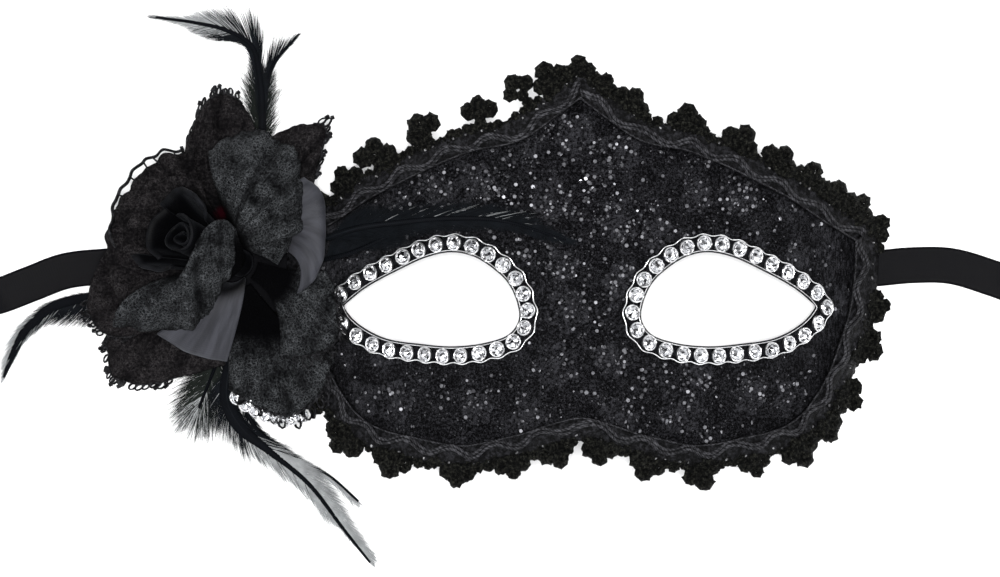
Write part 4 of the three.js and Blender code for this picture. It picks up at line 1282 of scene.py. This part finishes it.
# Rose: petals round a stem. Each rises from its foot (degrees from and to, height and distance, round
# the stem) over its ridge or a plain arch to its rim; the surfaces are those of the solids
rose = {
    "base": (-93, 9.5, 13), "axis": (-0.59, 0.29, 0.754), "share": 0.4, "thickness": 0.7, "cell": 0.72,
    "seed": 100, "apart": 50,  # millimetres between the petals' places in the cloth
    "wineAt": (-99, 24, 0), "wineReach": (0.0006, 0.0026), "wine": (0.012, 0.0005, 0.002),
    "dark": (0.2, 0.5),  # shares of the way to the rim over which a petal comes out of its painted shade
}
petals = {
    "petal_lace_top": {
        "foot": (124, 84, 1, 7.4), "arch": 7, "picots": (0, 0.72),
        "rim": [(-110, 38, 13), (-106, 50, 14), (-99.6, 56.5, 14), (-92.5, 53, 14), (-88, 42, 14)]},
    "petal_lace_top_right": {
        "foot": (74, 36, 1.5, 7.4), "arch": 6, "picots": (0.4, 1),
        "rim": [(-89, 42, 16), (-80.5, 47.5, 18), (-71, 47.5, 20), (-72.3, 38, 21), (-74, 31, 21)]},
    "petal_satin_right": {
        "foot": (68, 40, 5.5, 7), "cloth": "satin", "dark": (0.3, 0.56),
        "ridge": [(-84, 27, 25), (-78, 20, 27), (-78.5, 12, 25)],
        "rim": [(-76, 34, 25.5), (-70.8, 29, 26.5), (-69.8, 16, 26.5), (-72.5, 6.5, 26), (-78, 1.7, 24.5)]},
    "petal_lace_lower_right": {
        "foot": (2, -38, 2.5, 7.2), "cloth": "tracery", "dark": (0.4, 0.66), "picots": (0.15, 0.9),
        "ridge": [(-78, 8, 19), (-79, 2, 18.5), (-84, -2, 16.5)],
        "rim": [(-70, 8, 22), (-68, -2, 22.5), (-67.8, -10.5, 20.5), (-74, -14.5, 18), (-83, -15, 16)]},
    "petal_lace_bottom": {
        "foot": (-50, -112, 1, 7.2), "cloth": "tracery", "dark": (0.5, 0.8), "picots": (0.1, 1),
        "ridge": [(-80, -8, 12.5), (-87, -9, 10.5), (-97, -8, 10)],
        "rim": [(-68.5, -16, 17.5), (-73, -26, 13), (-80, -31, 11), (-89, -29, 10.5), (-97, -24, 10)]},
    "petal_lace_lower_left": {
        "foot": (-122, -154, 1, 7.2), "arch": 5, "picots": (0.2, 1), "dark": (0.45, 0.75),
        "tassels": (0.5, 0.66, 0.84),
        "rim": [(-98, -18, 12), (-110, -21, 9.5), (-121, -23, 7), (-129, -20.5, 7), (-130.5, -13, 7),
                (-129, -5, 8)]},
    "petal_lace_left": {
        "foot": (-160, -190, 2, 7.2), "arch": 6, "picots": (0.1, 0.6),
        "rim": [(-118, -8.5, 12.5), (-128.5, -10, 11.5), (-135.5, -3.5, 12), (-134.5, 6, 13),
                (-130.5, 14, 15)]},
    "petal_lace_upper_left": {
        "foot": (202, 128, 4.5, 7), "slit": (0.24, 0.94),
        "ridge": [(-113, 5, 20), (-119, 17, 22), (-113, 30, 22), (-105, 33, 21)],
        "rim": [(-127, -3, 16), (-131, 12, 18), (-129.3, 23, 19), (-124.3, 31.5, 20), (-117.5, 38.5, 20),
                (-106, 42.5, 19)]},
    "petal_lace_folded": {
        "foot": (74, 22, 7, 6.4), "cloth": "tracery", "dark": (0.15, 0.5),
        "ridge": [(-101, 34, 33), (-93, 26, 37), (-90, 19.5, 37), (-88, 12.5, 34)],
        "rim": [(-102, 42, 23), (-92, 47, 24), (-79, 42, 26), (-76.5, 31, 28.5), (-76.8, 20, 28.5),
                (-83, 9.5, 27)]},
    "petal_lace_inner_left": {
        "foot": (196, 84, 7, 6.2), "arch": 6, "dark": (0.4, 0.8),
        "rim": [(-124, 7, 26), (-125.5, 16, 27), (-121, 27, 30), (-113.5, 33, 32), (-104, 32.5, 33)]},
    "petal_lace_middle_left": {
        "foot": (0, -150, 7.5, 6.2), "cloth": "tracery", "dark": (0.1, 0.42),
        "ridge": [(-95, 19.5, 37), (-98.6, 21.8, 40), (-103.5, 18.5, 40.5), (-107.5, 10, 38),
                  (-113, 3.5, 31), (-122, 2.5, 25)],
        "rim": [(-94.6, 10, 28), (-99.5, 1, 25), (-105.5, -7, 22), (-117, -8.8, 20), (-129, -7.5, 19)]},
    "petal_satin_bottom": {
        "foot": (-46, -130, 3.5, 6.3), "cloth": "satin", "dark": (0.2, 0.5),
        "ridge": [(-93.2, -1, 20), (-99, -2, 21), (-107, -1.5, 20)],
        "rim": [(-97.5, -17, 15), (-102.5, -16.5, 15), (-110, -14, 15), (-117, -9.6, 15)]},
    "petal_bud_right": {
        "foot": (120, 20, 9.5, 5.1), "arch": 3, "share": 0.6, "cloth": "bud", "dark": (0.8, 1.0),
        "rim": [(-115.5, 26, 30), (-111.5, 30, 33.5), (-107.5, 29.5, 37.5), (-104.6, 26.5, 38.5),
                (-103.3, 22.5, 37)]},
    "petal_bud_left": {
        "foot": (203, 130, 9.5, 5.1), "arch": 3, "share": 0.6, "cloth": "bud", "dark": (0.85, 1.1),
        "rim": [(-115.8, 11.5, 34.2), (-118.9, 15.4, 31.6), (-117.7, 21.6, 31), (-113.8, 24.9, 32)]},
    "petal_bud_bottom": {
        "foot": (-100, -146, 9.5, 5.1), "arch": 3, "share": 0.6, "cloth": "bud", "dark": (0.85, 1.0),
        "rim": [(-112.5, 9.8, 36), (-116.5, 8.6, 34.5), (-120.5, 9.8, 32), (-123.5, 12.6, 29.5)]},
}
roseAxis = unit(np.array(rose["axis"], float))
roseRight = unit(np.cross((0, 1, 0), roseAxis))
roseUp = np.cross(roseAxis, roseRight)


def onRose(r, angle, h):
    return (np.array(rose["base"]) + np.multiply.outer(r * np.cos(angle), roseRight)
            + np.multiply.outer(r * np.sin(angle), roseUp) + np.multiply.outer(h, roseAxis))


def spline(points, u):  # evenly stepped, as the rims and ridges of the solids are
    points = np.asarray(points, float)
    spans = len(points) - 1
    padded = np.vstack([2 * points[:1] - points[1:2], points, 2 * points[-1:] - points[-2:-1]])
    low = np.minimum((np.clip(u, 0, 1) * spans).astype(int), spans - 1)
    before, start, end, after = [padded[low + step] for step in range(4)]
    t = (np.clip(u, 0, 1) * spans - low)[:, None]
    return (start + (end - before) * t / 2 + (2 * before - 5 * start + 4 * end - after) * t ** 2 / 2
            + (3 * start - before - 3 * end + after) * t ** 3 / 2)


def petalSurface(petal, u, v):
    first, last, rise, radius = petal["foot"]
    foot = onRose(radius, np.radians(first + (last - first) * np.clip(u, 0, 1)), rise)
    rim = spline(petal["rim"], u)
    if "ridge" in petal:
        over = 2 * spline(petal["ridge"], u) - (foot + rim) / 2
    else:
        over = foot + (rim - foot) * petal.get("share", rose["share"]) + roseAxis * petal["arch"]
    v = v[:, None]
    return (1 - v) ** 2 * foot + 2 * v * (1 - v) * over + v ** 2 * rim


# A place on the petal, lifted square to it towards the bud
def petalPoint(petal, u, v, lift=0.0, near=0.01):
    across = petalSurface(petal, u + near, v) - petalSurface(petal, u - near, v)
    ahead = petalSurface(petal, u, v + near) - petalSurface(petal, u, v - near)
    out = unit(np.cross(across, ahead))
    return petalSurface(petal, u, v) + out * np.broadcast_to(lift, len(u))[:, None]


def petalSize(petal):  # millimetres round its rim, and from its foot to its rim
    u = np.linspace(0, 1, 20)
    rim = petalSurface(petal, u, 1 + 0 * u)
    spine = petalSurface(petal, 0.5 + 0 * u, u)
    return [np.linalg.norm(np.diff(line, axis=0), axis=1).sum() for line in (rim, spine)]


ruffle = {"depth": 0.8, "hollow": 0.8, "every": 11, "roll": 1.5, "rollFrom": 0.84, "scallop": 0.35,
          "scallopEvery": 2.3, "crinkle": 0.28, "swell": 0.35, "fade": 0.45, "stiff": 0.35}
picot = {"cord": 0.34, "loop": 0.32, "every": 1.9, "stray": 0.8, "size": (0.45, 1.15), "beyond": 0.6,
         "knots": 0.4, "knot": 0.55, "tassel": 1.25}
slit = {"wide": 3.2, "from": 0.86, "cord": 0.5, "tie": 0.24, "ties": 5.5, "knot": 1.1}


def addPetal(number, name, petal, finishes):
    chance = np.random.default_rng(rose["seed"] + number)
    phase, second = chance.uniform(0, math.tau, 2)
    cloth = petal.get("cloth", "plain")
    width, reach = petalSize(petal)
    limp = 0 if cloth in ("satin", "bud") else 1

    def waves(u):  # ruffles that swell and fade round the rim
        along = u * width / ruffle["every"] * math.tau
        swell = 1 - ruffle["swell"] + ruffle["swell"] * np.sin(along * 0.37 + second)
        return swell * np.sin(along + phase) + 0.5 * np.sin(along * 1.7 + second)

    def openness(u, v):  # painted shade: 0 near the foot and in the ruffles' hollows, 1 on the ridges and the rim
        return smoothstep(v, *petal.get("dark", rose["dark"])) * (
            1 - ruffle["hollow"] * limp * (1 - ruffle["fade"] * v) * smoothstep(-waves(u), -0.6, 1.3))

    def lift(u, v):
        roll = ruffle["roll"] * smoothstep(v, ruffle["rollFrom"], 1.08) ** 2
        x, y = u * width, v * reach
        crinkles = np.sin(1.3 * x + 1.5 * np.sin(0.9 * y + phase)) * np.sin(1.5 * y + np.sin(0.8 * x))
        grown = smoothstep(v, 0.3, 1.1)
        depth = ruffle["depth"] * (1 if limp else ruffle["stiff"])
        return (depth * waves(u) + ruffle["crinkle"] * limp * crinkles) * grown - roll

    def place(u, v):
        scallop = ruffle["scallop"] * limp * np.abs(np.sin(u * width / ruffle["scallopEvery"] * math.pi))
        longer = v * (1 + scallop / reach * v ** 6)
        flat = np.stack([u * width, v * reach], axis=-1) + number * rose["apart"]
        return petalPoint(petal, u, longer, lift(u, longer)), flat

    columns, rows = round(width / rose["cell"]), round(reach / rose["cell"])
    mesh = gridMesh(name, columns, rows, place, open=openness)
    slot = "rose_lace" if limp else "rose_satin"
    addPiece("cloth_" + name, mesh, [finishes[cloth]], slot, name, thickness=rose["thickness"])

    def edging(u, out):
        v = 1 + out / reach
        return petalPoint(petal, u, v, lift(u, v))

    def apart(u, gap):  # out beyond the fold of the rim, in plan
        v = slit["from"] + 0 * u
        spot = petalPoint(petal, u, v, lift(u, v))
        away = unit((spot - np.array(rose["base"]))[:, :2])
        return spot + np.column_stack([away * np.asarray(gap)[:, None], 0 * u])

    threads = []
    if "slit" in petal:
        low, high = petal["slit"]
        u = np.linspace(low, high, 60)
        wide = slit["wide"] * np.sin(np.linspace(0, 0.86 * math.pi, 60)) ** 0.6
        threads.append((apart(u, wide + 0.2 * np.sin(u * 60)), slit["cord"], 0, False))
        knot = apart(high + np.array([0, 0.008, 0.016]), np.full(3, wide[-1]))
        threads.append((knot, slit["knot"], 0, False))
        for middle in np.arange(low, high, slit["ties"] / width):
            tie = np.array([middle, middle + chance.uniform(-0.02, 0.02)])
            threads.append((apart(tie, np.array([-0.5, np.interp(middle, u, wide)])), slit["tie"], 0, False))
    if "picots" in petal:
        low, high = petal["picots"]
        u = np.linspace(low, high, 70)
        threads.append((edging(u, 0.5 + 0 * u), picot["cord"], 0, False))
        for middle in np.arange(low + 0.03, high - 0.02, picot["every"] / width):
            middle += chance.normal(0, picot["stray"]) / width
            around = np.linspace(0, math.tau, 9)[:-1]
            size = chance.uniform(*picot["size"])
            out = picot["beyond"] + size * 1.15 * (1 + np.sin(around))
            ring = edging(middle + size * np.cos(around) / width, out)
            threads.append((ring, picot["loop"], 0, True))
            if chance.random() < picot["knots"]:
                out = picot["beyond"] + size * 2.3 + np.array([0, 0.7])
                knot = edging(middle + np.array([0, 0.6]) / width, out)
                threads.append((knot, picot["knot"], 0, False))
    for middle in petal.get("tassels", ()):
        spot = edging(middle + np.array([0, 0.5, 0.9]) / width, np.array([0.6, 1.4, 2.2]))
        threads.append((spot, picot["tassel"] * np.array([0.6, 1, 0.7]), 0, False))
    if threads:
        addPiece("edging_" + name, threadMesh("edging", threads), [finishes["cord"]], "rose_lace")


# The bud is one strip rolled round itself
bud = {"turns": 2.2, "inner": 0.9, "outer": 5.2, "height": 30, "foot": 3.9, "lip": 0.5, "start": 0.6,
       "sunk": 2.6, "wave": 0.8, "thickness": 0.6, "rows": 30, "around": 96}


def addBud(finish):
    def place(u, v):
        angle = u * bud["turns"] * math.tau + bud["start"]
        height = bud["height"] - bud["sunk"] * (1 - u) + bud["wave"] * np.sin(angle * 2)
        wide = bud["inner"] + (bud["outer"] - bud["inner"]) * u
        narrow = bud["foot"] * (0.3 + 0.7 * u)
        radius = narrow + (wide - narrow) * smoothstep(v, 0.25, 0.85)
        radius += bud["lip"] * smoothstep(v, 0.9, 1) * u
        return onRose(radius, angle, 0.4 + v * height), np.stack([angle * 4, v * bud["height"]], axis=-1)

    def openness(u, v):  # painted shade inside the roll
        return smoothstep(v, 0.9, 1.05)

    mesh = gridMesh("bud", bud["around"], bud["rows"], place, open=openness)
    addPiece("cloth_rose_bud", mesh, [finish], "rose_satin", "rose_bud", thickness=bud["thickness"])


def addBacking():
    bm = bmesh.new()
    bm.from_mesh(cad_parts["rose_backing"].data)
    bmesh.ops.remove_doubles(bm, verts=bm.verts, dist=0.00001)
    bmesh.ops.dissolve_limit(bm, angle_limit=math.radians(4), verts=bm.verts, edges=bm.edges)
    bmesh.ops.bevel(bm, geom=bm.edges[:], offset=0.0006, offset_type="OFFSET", segments=2, profile=0.5,
                    affect="EDGES", material=-1)
    addPiece("felt_backing", meshFrom(bm, "felt"), [felt()], "felt", "rose_backing")


roseFinishes = {
    "satin": roseSatin("rose_satin", 0.16, (0.014, 0.0145, 0.018), (0.036, 0.037, 0.045)),
    # the bud's satin is far darker than the petals': painted shade for its place deep in the rose
    "bud": roseSatin("bud_satin_painted_shade", 0.05, (0.0006, 0.0007, 0.0009), (0.006, 0.0064, 0.008)),
    "plain": roseLace("rose_lace_plain", 0.14, 1300, 0.2, (0.0024, 0.0022, 0.0025), (0.06, 0.055, 0.057)),
    "tracery": roseLace("rose_lace_tracery", 0.34, 1200, 0.45,
                        (0.0008, 0.0009, 0.0011), (0.085, 0.09, 0.096)),
    "cord": braidThread("rose_cord", (0.001, 0.001, 0.0014), (0.03, 0.03, 0.033)),
}
for number, (name, petal) in enumerate(petals.items()):
    addPetal(number, name, petal, roseFinishes)
addBud(roseFinishes["bud"])
addBacking()
print("rose made,", len(petals), "petals")


# A short string of the same stones behind the rim of the bottom petal
stringing = {"stones": 7, "from": 0.4, "to": 0.97, "peek": 1.2, "behind": -1.7, "sunk": 0.9,
             "wire": 0.5, "wireSunk": 0.6, "seed": 41}


def addString():
    petal = petals["petal_lace_bottom"]
    chance = np.random.default_rng(stringing["seed"])
    u = np.linspace(stringing["from"], stringing["to"], stringing["stones"] * 2 + 1)
    v = 1 + stringing["peek"] / petalSize(petal)[1] + 0 * u
    spots = petalPoint(petal, u, v, stringing["behind"])
    ahead = unit(np.gradient(spots, axis=0))
    inward = unit(petalPoint(petal, u, v - 0.02, stringing["behind"]) - spots)
    out = unit(np.cross(inward, ahead))
    out = np.where(out[:, 2:] < 0, -out, out)
    axes = list(zip(ahead, np.cross(out, ahead), out))[1::2]
    stones = stonesAt("string", stoneMesh(), spots[1::2] - out[1::2] * stringing["sunk"], axes, chance)
    wire = threadMesh("wire", [(spots - out * stringing["wireSunk"], stringing["wire"], 0, False)], 1)
    addPiece("crystal_string", joined("string", [stones, wire]), bandingFinishes, "crystal_banding",
             "crystal_strip", smooth=False)


addString()
print("stone string laid")


# Feathers: a quill, a dark blade, and loose barbs. Each row of a side is a share of the quill's length,
# the barbs' length and lean from the quill there, and how many of them are pale
darkBarb, paleBarb, downBarb = 1, 2, 3
featherFinishes = [
    featherBlade(),
    featherBarb("feather_dark_barbs", (0.0008, 0.001, 0.0014), (0.008, 0.01, 0.013)),
    featherBarb("feather_pale_barbs", (0.14, 0.145, 0.15), (0.46, 0.475, 0.48)),
    featherBarb("feather_down", (0.002, 0.003, 0.0025), (0.02, 0.024, 0.021)),
]
feathers = {
    "feather_top_long": {
        "quill": [(-88, 26, 7), (-88, 41, 10), (-87.8, 53, 13), (-88.5, 62, 15), (-90.5, 70, 16),
                  (-97, 74.3, 16), (-105, 76.4, 14), (-117.2, 78.2, 11)],
        "blade": [(0, 0.9), (0.4, 0.8), (0.6, 0.6), (0.8, 0.34), (1, 0.1)],
        "left": [(0.3, 4, 34, 0), (0.5, 5, 30, 0), (0.58, 8, 40, 0), (0.68, 10, 44, 0.05),
                 (0.75, 8, 36, 0.8), (0.84, 5, 24, 1), (0.92, 3.4, 14, 1), (1, 3, 6, 0.3)],
        "right": [(0.3, 4, 34, 0), (0.48, 6, 20, 0), (0.56, 14, 14, 0), (0.66, 12, 18, 0.4),
                  (0.78, 7, 20, 1), (0.9, 3.6, 14, 1), (1, 3, 5, 0.4)],
        "count": 1600, "from": 0.3,
    },
    "feather_top_short": {
        "quill": [(-87, 30, 5), (-87.3, 46, 7), (-87, 57, 9), (-84.5, 65.5, 11), (-78.2, 72.8, 12)],
        "blade": [(0, 0.5), (0.6, 0.5), (0.8, 0.4), (1, 0.1)],
        "left": [(0.5, 5, 14, 0), (0.66, 10, 9, 0), (0.72, 12, 13, 0), (0.8, 8, 12, 0.3), (1, 1.5, 6, 0.1)],
        "right": [(0.5, 4, 18, 0), (0.8, 4, 14, 0), (1, 2, 6, 0.1)],
        "count": 420, "from": 0.5,
    },
    "feather_top_down": {
        "down": True,
        "quill": [(-89, 27, 3.4), (-88.5, 42, 4.4), (-88, 62, 5.4)],
        "blade": [(0, 0.5), (1, 0.4)],
        "left": [(0.4, 8, 40, 0), (0.7, 10, 34, 0), (0.9, 8, 40, 0.05), (1, 6, 30, 0)],
        "right": [(0.4, 8, 40, 0), (0.7, 9, 34, 0.1), (0.9, 7, 40, 0.3), (1, 5, 30, 0.2)],
        "count": 900, "from": 0.4,
    },
    "feather_left": {
        "quill": [(-99.5, 4, 7), (-118, 3, 6.4), (-134, 1, 5.6), (-145.5, -1.8, 5), (-153.4, -8.6, 4),
                  (-157.4, -16, 3), (-159.6, -21.5, 2.4)],
        "blade": [(0, 0.9), (0.5, 1.3), (0.8, 1.3), (0.92, 0.8), (1, 0.15)],
        "left": [(0.4, 12, 58, 0), (0.52, 11, 52, 0), (0.62, 9, 38, 0.05), (0.7, 7, 30, 0.3),
                 (0.8, 6, 22, 1), (1, 1.5, 8, 1)],
        "right": [(0.4, 3, 40, 0), (0.6, 4, 26, 0), (0.72, 7, 20, 0.8), (0.85, 8, 16, 1), (1, 2, 6, 1)],
        "count": 1900, "from": 0.4,
    },
    "feather_lower_long": {
        "quill": [(-92, -6, 7.6), (-96.5, -17, 7.2), (-97.5, -28, 6.2), (-93.5, -35.5, 6.2), (-86, -41.8, 7),
                  (-75, -51, 5), (-65.4, -63.5, 3.4), (-58, -72.8, 2.2)],
        "blade": [(0, 1), (0.25, 2), (0.36, 2), (0.46, 1.1), (0.58, 0.5), (0.8, 0.32), (1, 0.1)],
        "left": [(0.15, 8, 40, 0), (0.28, 11, 34, 0), (0.4, 9, 30, 0), (0.45, 10, 30, 0.4), (0.5, 13, 28, 1),
                 (0.65, 11, 24, 1), (0.8, 9, 28, 1), (0.92, 8, 22, 1), (1, 2, 8, 1)],
        "right": [(0.15, 8, 40, 0), (0.25, 10, 44, 0.05), (0.38, 10, 36, 0.2), (0.44, 9, 34, 0.9),
                  (0.7, 10, 26, 1), (0.8, 4, 14, 1), (1, 1, 8, 1)],
        "count": 2200, "from": 0.15,
    },
    "feather_lower_short": {
        "quill": [(-90, -8, 5), (-93.5, -24, 4.6), (-90, -35, 4.4), (-78, -43.8, 4), (-69, -49, 3.6),
                  (-61.3, -55.8, 2.8)],
        "blade": [(0, 0.5), (0.5, 0.4), (0.7, 0.2), (1, 0.1)],
        "left": [(0.3, 5, 30, 0), (0.5, 4, 24, 0.2), (0.65, 2.5, 12, 0.9), (1, 1, 8, 1)],
        "right": [(0.3, 6, 30, 0), (0.5, 6, 24, 0.6), (0.65, 8, 20, 1), (0.9, 8, 18, 1), (1, 2, 8, 1)],
        "count": 520, "from": 0.3,
    },
    "feather_lower_down": {
        "down": True,
        "quill": [(-97, -9, 4), (-101.5, -20, 4), (-105.5, -30, 3.2)],
        "blade": [(0, 0.4), (1, 0.2)],
        "left": [(0.3, 10, 46, 0), (0.6, 14, 40, 0.1), (0.85, 13, 34, 0.3), (1, 11, 16, 0.5)],
        "right": [(0.3, 10, 50, 0), (0.6, 13, 46, 0.05), (0.85, 12, 36, 0.3), (1, 12, 18, 0.5)],
        "count": 900, "from": 0.3,
    },
    "feather_brow": {
        "onFace": True,
        "quill": [(-70, 17, 7), (-61, 19.8, 7), (-50.3, 21.2, 6.4), (-36.3, 22.4, 5.8), (-22, 21.8, 5.4),
                  (-4, 16.5, 4.2)],
        "blade": [(0, 0.8), (0.5, 0.5), (0.8, 0.3), (1, 0.1)],
        "left": [(0, 12, 36, 0), (0.4, 13, 24, 0.03), (0.75, 10, 20, 0.03), (1, 4, 8, 0)],
        "right": [(0, 12, 36, 0), (0.4, 13, 24, 0), (0.75, 10, 20, 0.02), (1, 4, 8, 0)],
        "count": 1500, "from": 0,
    },
    "feather_brow_down": {
        "onFace": True, "down": True, "dark": True,
        "quill": [(-71, 11, 5.2), (-63, 13, 5.2), (-53, 17.5, 5.2)],
        "blade": [(0, 0.5), (1, 0.4)],
        "left": [(0, 15, 68, 0), (0.5, 13, 55, 0), (1, 6, 24, 0)],
        "right": [(0, 15, 68, 0), (0.5, 13, 55, 0), (1, 6, 24, 0)],
        "count": 1100, "from": 0,
    },
}
barb = {"seed": 200, "radius": 0.09, "points": 4, "droop": 0.06, "scatter": 0.06, "stray": 0.16, "floor": 0.4,
        "mess": 4, "downMess": 13, "bend": 0.4, "shaft": 0.42, "downShaft": 0.2, "tip": 0.1,
        "bladeWall": 0.25, "arch": 0.35, "cell": 1.2, "lengths": (0.7, 1.08)}


def valueAt(pairs, share):
    return np.interp(share, *zip(*pairs))


def featherPlace(feather, plan):
    if not feather.get("onFace"):
        return np.column_stack([plan[:, :2], np.maximum(plan[:, 2], barb["floor"])])
    lift = np.maximum(plan[:, 2], lifts["laceTop"] + 0.5)
    return onFace(plan[:, 0], plan[:, 1], lift)


def addFeather(number, name, feather):
    chance = np.random.default_rng(barb["seed"] + number)
    route = Route(feather["quill"])
    down = feather.get("down", False)

    def blade(u, v):
        across = 2 * u - 1
        spot, ahead = route.at(v * route.length), route.tangent(v * route.length)
        side = unit(np.stack([-ahead[:, 1], ahead[:, 0], 0 * v], axis=-1))
        half = valueAt(feather["blade"], v)
        plan = spot + side * (across * half)[:, None]
        plan[:, 2] += barb["arch"] * (1 - across ** 2)
        return featherPlace(feather, plan), np.stack([v * route.length, across * half], axis=-1)

    # The blade gets its thin wall before the loose barbs join it
    rows = round(route.length / barb["cell"])
    bm = bmesh.new()
    bm.from_mesh(gridMesh(name, 4, rows, blade))
    bmesh.ops.solidify(bm, geom=bm.faces[:], thickness=barb["bladeWall"] / 1000)
    share = np.linspace(0, 1, rows)
    quill = route.at(share * route.length) + (0, 0, barb["arch"])
    shaft = barb["downShaft" if down else "shaft"]
    mess = barb["downMess" if down else "mess"]
    threads = [(featherPlace(feather, quill), shaft - (shaft - barb["tip"]) * share, darkBarb, False)]
    t = np.linspace(0, 1, barb["points"])
    for step in range(feather["count"]):
        share = chance.uniform(feather["from"] + 0.02, 1)
        shares, *measures = np.transpose(feather["left" if step % 2 else "right"])
        length, lean, pale = [np.interp(share, shares, measure) for measure in measures]
        length *= chance.uniform(*barb["lengths"])
        ahead = route.tangent(share * route.length)
        side = (1 if step % 2 else -1) * np.array([-ahead[1], ahead[0], 0]) / math.hypot(ahead[0], ahead[1])
        lean += chance.normal(0, mess)
        bend = np.radians(lean) * (1 - barb["bend"] * t)
        line = np.cumsum(np.outer(np.cos(bend), ahead) + np.outer(np.sin(bend), side), axis=0)
        line = route.at(share * route.length) + (line - line[0]) * length / (barb["points"] - 1)
        line[:, 2] += length * (chance.normal(0, barb["scatter"]) * t - barb["droop"] * t ** 2)
        line += np.outer(t ** 2, chance.normal(0, barb["stray"] * (4 if down else 1), 3))
        plain = downBarb if down and not feather.get("dark") else darkBarb
        finish = paleBarb if chance.random() < pale else plain
        if not feather.get("onFace") or openLace(line[:, 0], line[:, 1]).min() > 0.3:
            threads.append((featherPlace(feather, line), barb["radius"] * (1.15 - t), finish, False))
    mesh = joined(name, [meshFrom(bm, name), threadMesh(name, threads)])
    addPiece("plume_" + name, mesh, featherFinishes, "feather", name)


for number, (name, feather) in enumerate(feathers.items()):
    addFeather(number, name, feather)
print("feathers set")

scene.view_settings.view_transform = "Standard"
